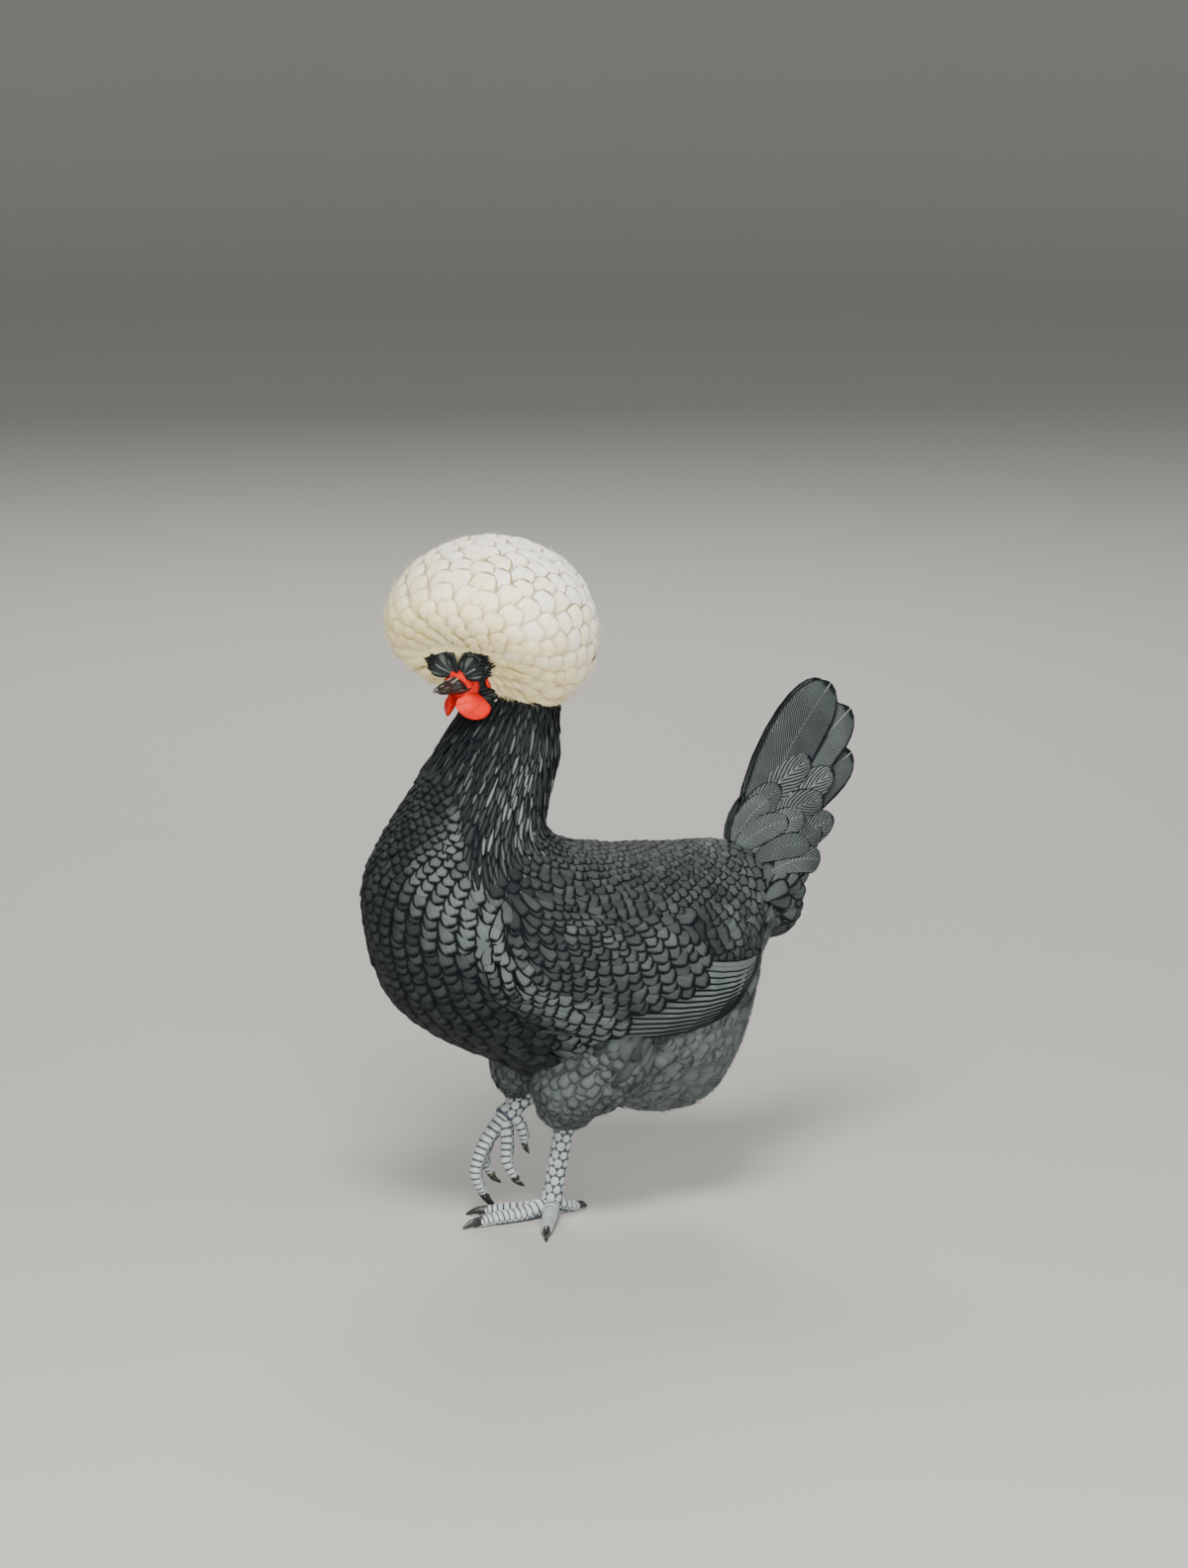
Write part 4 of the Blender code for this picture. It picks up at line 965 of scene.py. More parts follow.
def copied(bm, node, inset=0.0):
    """Adds a copy of a CAD node's surface to a bmesh."""
    other = bmesh.new()
    other.from_mesh(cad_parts[node].data)
    bmesh.ops.remove_doubles(other, verts=other.verts[:], dist=1e-6)
    other.normal_update()
    for vert in other.verts:
        vert.co -= vert.normal * inset
    mesh = bpy.data.meshes.new("copy")
    other.to_mesh(mesh)
    other.free()
    bm.from_mesh(mesh)
    bpy.data.meshes.remove(mesh)


def wing_bed(bm, side, depth):
    """Adds the fleshy bed of a folded wing, under its feathers."""
    form = wing_form(side)
    body = body_form(side)
    across = np.linspace(-1, 1, 9)
    rings = []
    for t in np.linspace(WING_START + 0.2, WING_END - 0.2, 12):
        place = np.full(len(across), t)
        outer = form.point(place, across) - form.normal(place, across * 0.9) * depth
        angle = wing_angle(place, across)[::-1]
        inner = body.point(place, angle) - body.normal(place, angle) * 0.008
        rings.append(np.concatenate([outer, inner]))
    drawn(bm, rings)


def remeshed(name, bm, voxel, rounds):
    """One closed smooth mesh round everything in a bmesh."""
    mesh = bpy.data.meshes.new(name)
    bm.to_mesh(mesh)
    bm.free()
    rough = bpy.data.objects.new(name + "_rough", mesh)
    bpy.context.scene.collection.objects.link(rough)
    remesh = rough.modifiers.new("remesh", "REMESH")
    remesh.mode = "VOXEL"
    remesh.voxel_size = voxel
    soft = rough.modifiers.new("soft", "SMOOTH")
    soft.factor = 0.6
    soft.iterations = rounds
    graph = bpy.context.evaluated_depsgraph_get()
    made = bpy.data.meshes.new_from_object(rough.evaluated_get(graph))
    bpy.data.objects.remove(rough)
    bpy.data.meshes.remove(mesh)
    made.shade_smooth()
    return made


class Step:
    """What every step does: it builds its pieces from the settings, and ends."""

    def execute(self, context):
        self.build(context.scene.hen_sizes)
        return {"FINISHED"}


class HEN_OT_skin(Step, bpy.types.Operator):
    """One skin for the neck, body, wings, thighs and head"""

    bl_idname = "hen.skin"
    bl_label = "Skin"

    def build(self, sizes):
        depth = sizes.coat_depth
        bm = bmesh.new()
        under = ("torso", "neck", "thigh_left", "thigh_right")
        for node in under:
            copied(bm, node, depth)
        copied(bm, "head", 0.0002)
        for side, _ in SIDES:
            wing_bed(bm, side, depth)
        made = bmesh.ops.create_icosphere(bm, subdivisions=4, radius=1)["verts"]
        bmesh.ops.scale(bm, vec=Vector((VENT_RADII - 2) * MM), verts=made)
        bmesh.ops.translate(bm, vec=Vector(VENT_CENTRE * MM + SHIFT), verts=made)
        mesh = remeshed("skin", bm, SKIN_VOXEL, 5)
        finished("skin", mesh, skin_material(), (*under, "head"))


def body_bake(t, a, side):
    """Each root's place on an unwrap of the body: along it, and round it from the belly."""
    turn = 0.5 + side * a / (FULL_TURN) * 0.94
    return np.stack([turn, 0.03 + 0.94 * np.clip(t, 0, BODY_END) / BODY_END], -1)


def hackle_edge(a):
    """Where the hackles end, down the neck: low at the sides and high in front."""
    angles = np.radians((0, 54, 85, 103, 112, 119, 135, 150, 180))
    return np.interp(a, angles, (3.3, 3.4, 4.0, 4.5, 4.4, 3.5, 2.8, 2.3, 2.0))


class HEN_OT_hackles(Step, bpy.types.Operator):
    """Narrow streaked hackles on the neck"""

    bl_idname = "hen.hackles"
    bl_label = "Neck hackles"

    def build(self, sizes):
        gap = sizes.hackle_gap / MM
        rng = np.random.default_rng(11)
        coat = Coat(rng)
        for side, _ in SIDES:
            form = body_form(side)
            t, a = tract(
                form, (-1.1, 4.4), (0, math.pi), lambda t, a: 4.6 + 0.6 * t, lambda t, a: gap + 0.12 * t, 1.3,
            )
            keep = t + rng.uniform(0, 0.35, len(t)) < hackle_edge(a) - 0.35
            t, a = t[keep], a[keep]
            n = len(t)
            length = (15 + 3.0 * np.clip(t, 0, 5)) * rng.uniform(0.85, 1.15, n)
            half = (1.75 + 0.16 * np.clip(t, 0, 5)) * rng.uniform(0.85, 1.2, n)
            turn = rng.normal(0, 0.05, n)
            lift = rng.normal(0.4, 0.35, n)
            shafts = laid(form, t, a, length, HACKLE, -2.2, lift, turn, 0.3)
            streak = np.exp(-(((a - 1.3) / 0.62) ** 2)) * eased(-0.4, 1.6, t)
            bright = rng.random(n) < 0.3 + 0.25 * eased(1.5, 3.5, t)
            tone = np.where(bright, 0.2 + 0.75 * streak, 0.06 + 0.16 * streak) * rng.uniform(0.7, 1.1, n)
            tone = tone * (1 - 0.35 * eased(2.4, 3.6, t))
            batch = Batch(shafts, half, HACKLE, tone, body_bake(t, a, side))
            coat.vanes(batch, camber=0.3, thick=0.25, across=3)
        material = plumage(
            "Hackle plumage", 0.55, rim=0.5, tip=0.16, shaft_width=0.5, barbs=16.0, slant=0.25, fleck=0.05,
            streaks=1.3,
        )
        coat.make("neck_hackles", material, "black_plumage")


def side_band(points):
    """How near a point is to the pale band of feathers from the shoulder to the thigh, as 0 to 1."""
    start, end = np.array((-78, 222)), np.array((7, 118))
    place = (points - SHIFT)[..., (0, 2)] / MM - start
    run = end - start
    share = np.clip(place @ run / (run @ run), -0.2, 1.1)
    away = np.linalg.norm(place - share[..., None] * run, axis=-1)
    return np.exp(-((away / 19) ** 4))


def body_gap(t, a):
    """Room between body feathers, as a share of the usual: small on the back and high on the breast."""
    back = 1 - eased(0.5, 1.1, a)
    rump = eased(10.5, 14.0, t)
    breast = eased(1.2, 1.7, a) * (1 - eased(9.5, 11, t))
    young = 1 - 0.32 * (1 - eased(2.0, 5.0, t))
    return (0.95 - 0.14 * back * (1 - rump) + 0.5 * rump + 0.2 * breast) * young


def body_tone(form, t, a):
    """How grey a body feather's face is, from 0, dark, to 1."""
    points = form.point(t, a)
    band = side_band(points) * (1 - eased(9.6, 10.4, t)) * eased(1.6, 2.6, t) * (1 - eased(2.45, 2.8, a))
    early = 0.4 * (1 - eased(8.5, 10.0, t))
    back = (1 - eased(0.8 + early, 1.2 + early, a)) * 0.38
    upper = 0.9 * np.exp(-(((a - 2.2) / 0.33) ** 2)) * (1 - eased(4.5, 6.0, t))
    belly = (0.2 + 1.5 * eased(9.4, 11.2, t)) * eased(1.4, 1.9, a)
    rump = eased(9.5, 11, t) * (0.62 - 0.42 * eased(1.05, 1.4, a))
    band = band * (1.0 + 0.3 * eased(4.5, 7.0, t)) * (0.72 + 0.28 * eased(1.45, 1.8, a))
    return np.maximum.reduce([0.15 + 0 * t, band, back, upper, belly, rump])


class HEN_OT_body_coat(Step, bpy.types.Operator):
    """Scale-like feathers on breast, back, rump and belly"""

    bl_idname = "hen.body_coat"
    bl_label = "Body feathers"

    def build(self, sizes):
        gap = sizes.scale_gap / MM
        rng = np.random.default_rng(23)
        parts = {name: Coat(rng) for name in ("breast_feathers", "back_feathers", "belly_fluff")}
        for side, _ in SIDES:
            form = body_form(side)
            t, a = tract(
                form, (1.5, 16.4), (-0.07, math.pi + 0.08),
                lambda t, a: gap * 0.68 * body_gap(t, a) * (
                    1 + 0.3 * eased(5.5, 8, t) * eased(1.2, 1.7, a) + 0.35 * eased(10.5, 12.5, t)
                ),
                lambda t, a: gap * 1.2 * body_gap(t, a) * (1 - 0.2 * eased(10.5, 12.5, t)), 1.15,
            )
            bow = (np.abs(wing_across(t, a)) < 0.72) & (t > WING_START + 0.7) & (t < 9.0)
            flights = (np.abs(wing_across(t, a)) < 0.5) & (t > 9.0) & (t < 12.0)
            keep = (t > hackle_edge(a) - 0.75) & ~bow & ~flights
            t, a = t[keep], a[keep]
            n = len(t)
            size = gap * body_gap(t, a)
            band = side_band(form.point(t, a)) * eased(4.5, 6.5, t)
            half = size * (0.7 - 0.08 * band - 0.13 * eased(10.5, 12.5, t)) * rng.uniform(0.92, 1.08, n)
            fluff = np.maximum(eased(2.2, 2.7, a) * eased(7, 9, t), eased(9.3, 10.6, t) * eased(1.5, 1.85, a))
            length = size * (2.25 + 0.5 * band + 0.3 * fluff) * rng.uniform(0.92, 1.1, n)
            half = half * (1 + 0.2 * fluff)
            lift = rng.normal(0.9, 0.3, n) + 0.6 * fluff
            loose = 0.06 + 0.24 * fluff
            t = t + rng.normal(0, 0.16, n) * fluff
            a = a + rng.normal(0, 0.06, n) * fluff
            shafts = laid(form, t, a, length, ROUND_TIP, -2.6, lift, rng.normal(0, loose), 0.3)
            tone = body_tone(form, t, a) * rng.uniform(0.75, 1.15, n)
            batch = Batch(shafts, half, ROUND_TIP, tone, body_bake(t, a, side))
            soft = fluff > 0.5
            back = (a < 0.95) & ~soft
            for name, chosen in (
                ("back_feathers", back), ("breast_feathers", ~back & ~soft), ("belly_fluff", soft),
            ):
                parts[name].vanes(batch.only(chosen), camber=0.2, thick=0.35)
            batch = batch.only(soft)
            parts["belly_fluff"].barbs(
                batch, batch.tone * 0.8, count=12, length=5.0, wide=0.24, start=0.35, fan=0.9, stand=0.1,
            )
        for name, coat in parts.items():
            coat.make(name, soft_plumage() if name == "belly_fluff" else black_plumage(), "black_plumage")


class HEN_OT_thighs(Step, bpy.types.Operator):
    """Rounded soft feathers on the thighs"""

    bl_idname = "hen.thighs"
    bl_label = "Thigh feathers"

    def build(self, sizes):
        gap = sizes.scale_gap / MM
        rng = np.random.default_rng(31)
        for side, word in SIDES:
            form = thigh_form(side)
            coat = Coat(rng)
            round_span = (0, FULL_TURN - 0.05)
            t, a = tract(form, (0.03, 0.9), round_span, lambda t, a: gap * 0.72, lambda t, a: gap * 1.25, 3.0)
            n = len(t)
            size = gap * (1.08 - 0.35 * t)
            length = size * 2.1 * rng.uniform(0.9, 1.1, n) * (1 - 0.4 * eased(0.6, 0.9, t))
            half = size * 0.7
            lift = rng.normal(0.6, 0.3, n)
            shafts = laid(form, t, a, length, ROUND_TIP, -2.2, lift, rng.normal(0, 0.2, n), 0.5)
            tone = (1.4 - 0.75 * t) * (0.35 + 0.65 * eased(0.05, 0.3, t)) * rng.uniform(0.7, 1.15, n)
            bake = np.stack([0.03 + 0.94 * a / (FULL_TURN), 0.03 + 0.94 * t], -1)
            batch = Batch(shafts, half, ROUND_TIP, tone, bake)
            coat.vanes(batch, camber=0.2)
            coat.barbs(batch, tone * 0.8, count=9, length=3.6, wide=0.22, fan=0.9, stand=0.1)
            coat.make(f"thigh_feathers_{word}", soft_plumage(), "black_plumage")


def lengthways(form, start, end, outline, lifts):
    """Shafts of long feathers over a form, from start to end places along and round it."""
    s = np.array(outline)[:, 0]
    t = start[0][:, None] + (end[0] - start[0])[:, None] * s
    a = start[1][:, None] + (end[1] - start[1])[:, None] * s
    up = form.normal(t, a)
    height = lifts[0][:, None] + (lifts[1] - lifts[0])[:, None] * s
    return form.point(t, a) + up * (height * MM)[..., None], up


class HEN_OT_wings(Step, bpy.types.Operator):
    """Coverts in rows and striped flight feathers on the folded wings"""

    bl_idname = "hen.wings"
    bl_label = "Wings"

    def build(self, sizes):
        gap = sizes.scale_gap / MM
        for side, word in SIDES:
            rng = np.random.default_rng(41)
            self.coverts(side, word, gap, rng)
            self.flights(side, word, rng)

    def coverts(self, side, word, gap, rng):
        """Small, middle and great coverts, larger row by row."""
        form = wing_form(side)
        coat = Coat(rng)

        def room(t, _):
            return gap * (0.84 + 0.5 * eased(6.5, 9.5, t))

        t, a = tract(
            form, (WING_START - 0.3, 10.2), (-0.98, 0.98),
            lambda t, a: 0.7 * room(t, a), lambda t, a: 1.2 * room(t, a), -0.3,
        )
        angle = wing_angle(t, a)
        keep = t < 8.6 + 1.4 * eased(0.8, 1.3, angle) - 1.0 * eased(1.45, 1.85, angle)
        t, a = t[keep], a[keep]
        n = len(t)
        size = room(t, a)
        length = size * 2.35 * rng.uniform(0.92, 1.1, n)
        half = size * 0.69 * rng.uniform(0.94, 1.06, n)
        sink = -2.6 + 0.9 * np.maximum(a, 0) ** 3
        lift, turn = rng.normal(1.0, 0.25, n), rng.normal(0, 0.08, n)
        shafts = laid(form, t, a, length, ROUND_TIP, sink, lift, turn, 0.3)
        # Darker on the wing's lower part: partly darker feathers, partly painted shade where the folded wing
        # turns down.
        low = eased(1.38, 1.58, angle[keep])
        tone = (0.7 - 0.3 * low) * (0.7 + 0.3 * eased(5.2, 6.4, t)) * (0.6 + 0.4 * eased(-1.0, -0.3, a))
        tone = tone * rng.uniform(0.7, 1.15, n)
        tone = np.maximum(tone, 1.15 * side_band(form.point(t, a)) * eased(0.35, 0.7, a))
        bake = np.stack([0.5 + 0.45 * a, 0.05 + 0.9 * (t - 4.5) / 9], -1)
        coat.vanes(Batch(shafts, half, ROUND_TIP, tone, bake), camber=0.2, thick=0.35, tilt=-side * 0.1)
        coat.make(f"wing_coverts_{word}", black_plumage(), "black_plumage", (f"wing_{word}",))

    def flights(self, side, word, rng):
        """Secondaries and primaries, each over the one below it."""
        form = body_form(side)
        coat = Coat(rng)
        count = 13
        s = np.linspace(0, 1, count)
        start = (np.full(count, 8.4), np.radians(80 + 50 * s))
        end = (13.0 - 0.7 * s, np.radians(76 + 12 * s))
        lifts = (2.2 - 1.0 * s, 3.9 - 1.5 * s)
        shafts = lengthways(form, start, end, LONG_VANE, lifts)
        half = between([3.6, 5.4, 6.0, 5.6, 5.0], s)
        tone = between([1.1, 1.8, 2.0, 1.8, 1.3, 0.8], s)
        bake = np.stack([0.1 + 0.8 * s, np.full(count, 0.97)], -1)
        batch = Batch(shafts, half, LONG_VANE, tone, bake)
        coat.vanes(batch, camber=0.12, across=7, tilt=-side * 0.16)
        coat.quills(batch, 0.55, 0.3, half * 0.12)
        material = plumage(
            "Flight plumage", rim=0.42, tip=0.05, shaft_width=0.05, barbs=60.0, slant=0.22, fleck=0.05,
            streaks=0.5,
        )
        coat.make(f"flight_feathers_{word}", material, "black_plumage")


def tail_shafts(side, s, outline):
    """Shafts of the stiff tail feathers; s runs from the middle pair, outermost, to the low ones."""
    steep, level = TAIL_RISE
    rise = np.radians(steep + (level - steep) * s)[:, None]
    long = between(TAIL_LENGTHS, s)[:, None]
    share = np.array(outline)[:, 0][None, :]
    reach = 8 + (long - 8) * share
    bow = 0.06 * long * np.sin(math.pi * share)
    x = TAIL_ROOT[0] + reach * np.cos(rise) - bow * np.sin(rise)
    z = TAIL_ROOT[1] - 8 * s[:, None] + reach * np.sin(rise) + bow * np.cos(rise)
    y = side * (3.6 - 1.6 * s[:, None] + (1.3 - s[:, None]) * share)
    return np.stack([x, y, z], -1) * MM + SHIFT


class HEN_OT_tail(Step, bpy.types.Operator):
    """Stiff tail feathers, tented over the rump, and the coverts that bury their roots"""

    bl_idname = "hen.tail"
    bl_label = "Tail"

    def build(self, sizes):
        pairs = sizes.tail_pairs
        rng = np.random.default_rng(53)
        fan, long, coverts = (Coat(rng) for _ in range(3))
        for side, _ in SIDES:
            s = np.linspace(0, 1, pairs)
            shaft = tail_shafts(side, s, LONG_VANE)
            up = np.broadcast_to(unit(np.array((0.08, side, 0.22))), shaft.shape)
            half = 18.5 * (1 - 0.32 * s)
            bake = np.stack([0.5 + side * (0.05 + 0.4 * s), np.full(pairs, 0.9)], -1)
            batch = Batch((shaft, up), half, LONG_VANE, 0.4, bake)
            fan.vanes(batch, camber=0.1, thick=0.5, across=9, tilt=-side * 0.1)
            fan.quills(batch, 0.85, 0.95, half * 0.09)
            fan.barbs(batch, 0.5, count=14, length=2.0, wide=0.3, start=0.3, fan=0.9)
            self.coverts(coverts, long, side, rng)
        for name, coat, count, streaks in (("feathers", fan, 40.0, 1.6), ("long_coverts", long, 15.0, 1.2)):
            material = plumage(
                "Tail " + name.replace("_", " "), 1.1, rim=0.14, tip=0.045, shaft_width=0.045, barbs=count,
                slant=0.34, fleck=0.04, streaks=streaks, lines=1.8,
            )
            coat.make(f"tail_{name}", material, "black_plumage", ("tail",) if coat is fan else ())
        self.vent(coverts, rng)
        coverts.make("tail_coverts", black_plumage(), "black_plumage")

    def vent(self, coat, rng):
        """Rounded feathers that close the body's end under the tail, their tips towards its root."""
        t, a = tract(vent_form(), (1.15, 2.6), WHOLE_ROUND, lambda t, a: 6.2, lambda t, a: 9.6, 3.1)
        n = len(t)
        length = rng.uniform(15, 18, n)
        turn, lift = rng.normal(0, 0.1, n), rng.normal(1.1, 0.3, n)
        shafts = laid(vent_form(), t, a, length, ROUND_TIP, -2.2, lift, turn, 0.4)
        bake = np.stack([0.03 + 0.94 * a / 6.6, 0.03 + 0.3 * t / 2.6], -1)
        tone = rng.uniform(0.4, 0.6, n)
        coat.vanes(Batch(shafts, 5.6, ROUND_TIP, tone, bake), camber=0.2, thick=0.4)

    def coverts(self, coat, long, side, rng):
        """Rounded coverts round the tail's root, and long ones that lie on the tail."""
        form = cushion_form(side)

        def room(angle):
            return 8.6 + 2.0 * eased(0.0, 0.9, angle)

        t, a = tract(form, (3, 29), (-1.0, 1.7), lambda t, a: room(a) * 0.6, lambda t, a: room(a) * 1.15, 0.4)
        keep = t < 29 - 19 * eased(0.95, 1.6, a) + 14 * np.minimum(a, 0)
        t, a = t[keep], a[keep]
        n = len(t)
        size = room(a)
        length = size * 2.1 * rng.uniform(0.92, 1.08, n)
        half = size * 0.66
        lift, turn = rng.normal(1.4, 0.3, n), rng.normal(0, 0.08, n)
        shafts = laid(form, t, a, length, ROUND_TIP, -2.4, lift, turn, 0.4)
        tone = (0.62 - 0.35 * eased(-0.2, -0.9, a)) * rng.uniform(0.85, 1.15, n)
        bake = np.stack([0.5 + side * (0.05 + 0.4 * t / 50), 0.5 + 0.2 * a], -1)
        coat.vanes(Batch(shafts, half, ROUND_TIP, tone, bake), camber=0.2, thick=0.4)
        root, start, tip, end, half, height = np.array(LONG_COVERTS, float).T
        start, end = np.radians(start), np.radians(end)
        shafts = lengthways(form, (root, start), (tip, end), ROUND_TIP, (height - 2.5, height))
        bake = np.stack([0.5 + side * 0.3 + 0 * end, 0.6 + 0.1 * end], -1)
        batch = Batch(shafts, half, ROUND_TIP, 0.42, bake)
        long.vanes(batch, thick=0.5, across=7)
        long.barbs(batch, 0.6, count=16, length=2.2, wide=0.2, start=0.3, fan=0.9)


def head_coords(points):
    """Points in the head's own directions: forward, left and up, in millimetres."""
    place = (points - SHIFT) / MM - SKULL_CENTRE
    return place @ HEADING, place @ LEFTWARD, place[..., 2]


def in_face(shaft):
    """True for a crest feather that would stand in front of the bill, comb, tufts or throat."""
    forward, left, up = head_coords(shaft)
    bill = (forward > 12) & (np.abs(left) < 9) & (np.abs(up + 5) < 14)
    tufts = (forward > 17) & (np.abs(left) < 25) & (up > 2) & (up < 23)
    throat = (up < -3) & (forward > -1) & (np.abs(left) < 12)
    return np.any(bill | tufts | throat, axis=-1)


class HEN_OT_crest(Step, bpy.types.Operator):
    """The globular crest: down inside, and rows of broad round feathers outside"""

    bl_idname = "hen.crest"
    bl_label = "Crest"

    def build(self, sizes):
        white = crest_white()
        self.down(white)
        self.feathers(sizes, white)

    def down(self, white):
        """The crest's soft heart, which closes the gaps between its feathers."""
        bm = bmesh.new()
        bmesh.ops.create_icosphere(bm, subdivisions=6, radius=1)
        face = unit(CREST_FACE)
        for vert in bm.verts:
            ray = np.array(vert.co)
            polar = math.acos(max(-1.0, min(1.0, float(ray @ face))))
            lump = 0.02 * noise.noise(vert.co * 7) + 0.02 * noise.noise(vert.co * 19)
            nape = 1 + CREST_OVERHANG * max(0.0, float(ray @ NAPE)) ** 4
            share = (float(bowl_share(polar)) * 0.985 - 0.045 + lump) * nape
            vert.co = Vector((CREST_CENTRE + ray * CREST_RADII * share) * MM + SHIFT)
        from_bmesh("crest_down", bm, white)

    def feathers(self, sizes, white):
        """Rows of feathers from the face back, their free edges away from it."""
        rng = np.random.default_rng(67)
        form = crest_form()
        row, gap = sizes.crest_row / MM, sizes.crest_gap / MM
        coat, rim = Coat(rng), Coat(rng)

        def grown(t):
            return 0.5 + 0.5 * eased(0.4, 1.2, t)

        t, a = tract(
            form, (0.12, 3.12), WHOLE_ROUND, lambda t, a: row * grown(t), lambda t, a: gap * grown(t), 2.0,
        )
        n = len(t)
        size = grown(t) * rng.uniform(0.92, 1.08, n)
        length = 26 * size
        start = np.maximum(t - 0.2 * size, 0.05)
        half = gap * 0.585 * size
        lift = 0.9 * size + rng.normal(0, 0.35, n)
        round_place, turn = a + rng.normal(0, 0.02, n), rng.normal(0, 0.04, n)
        shaft, up = laid(form, start, round_place, length, ROUND_TIP, -7 * size, lift, turn, 0.5, 0.6)
        bake = np.stack([0.03 + 0.94 * a / 6.6, 0.03 + 0.94 * t / 3.3], -1)
        low = eased(-0.1, -0.8, (form.point(t, a) - SHIFT - CREST_CENTRE * MM)[:, 2] / (50 * MM))
        tone = (1.0 - 0.6 * low) * rng.uniform(0.85, 1.0, n) * (0.15 + 0.85 * eased(0.7, 1.5, t))
        clear = (shaft[:, -1, 2] > SHIFT[2] + THROAT_HEIGHT) & ~in_face(shaft)
        batch = Batch((shaft, up), half, ROUND_TIP, tone, bake)
        coat.vanes(batch.only(clear), camber=0.17, thick=0.4, across=7)
        loose = clear & (rng.random(n) < 0.4 + 0.6 * low + 0.6 * (t < 1.2))
        batch = batch.only(loose)
        rim.barbs(batch, batch.tone * 0.3, count=15, length=4.8, wide=0.24, start=0.4, fan=1.0, stand=0.55)
        coat.make("crest_feathers", white, "white_crest", ("crest",))
        rim.make("crest_barbs", white, "white_crest")


class HEN_OT_tufts(Step, bpy.types.Operator):
    """Two black tufts of short feathers over the bill"""

    bl_idname = "hen.tufts"
    bl_label = "Tufts"

    def build(self, sizes):
        material = plumage(
            "Tuft plumage", rim=0.5, tip=0.12, shaft_width=0.16, barbs=22.0, slant=0.35, fleck=0.02,
            streaks=1.2,
        )
        for side, word in SIDES:
            rng = np.random.default_rng(71)
            coat = Coat(rng)
            for layer in range(3):
                self.layer(coat, -side, layer, rng)
            coat.make(f"tuft_feathers_{word}", material, "black_plumage", (f"tuft_{word}",))

    def layer(self, coat, side, layer, rng):
        """One fan of feathers; each layer lies a little in front of the last."""
        count = 19
        s = (np.arange(count) + 0.5 * (layer % 2)) / (count - 0.5)
        lean = np.radians(2 + 96 * s)[:, None]
        share = np.array(OVAL_TIP)[:, 0][None, :]
        long = between((14.5, 18, 22, 22.5, 17), s)[:, None] * rng.uniform(0.9, 1.08, (count, 1))
        long = long * (1 - 0.1 * layer)
        reach = 1 + long * share
        ahead = 20.5 + 1.5 * layer + 4.5 * np.sin(math.pi * share * 0.75)
        sweep = lean - 0.25 * share * (s[:, None] - 0.45)
        out = 2 + side * (2.2 + reach * np.sin(sweep))
        shaft = head_point(ahead, out, 6.8 + reach * np.cos(sweep))
        up = np.broadcast_to(unit(head_point(1, 0, 0.2) - head_point(0, 0, 0)), shaft.shape)
        bake = np.stack([0.1 + 0.8 * s, np.full(count, 0.2 + 0.25 * layer)], -1)
        tone = np.where(rng.random(count) < 0.4, 0.9, 0.15)
        batch = Batch((shaft, up), 1.55, OVAL_TIP, tone, bake)
        coat.vanes(batch, camber=0.35)
        coat.barbs(batch, 0.15, count=5, length=1.4, wide=0.12, start=0.5)


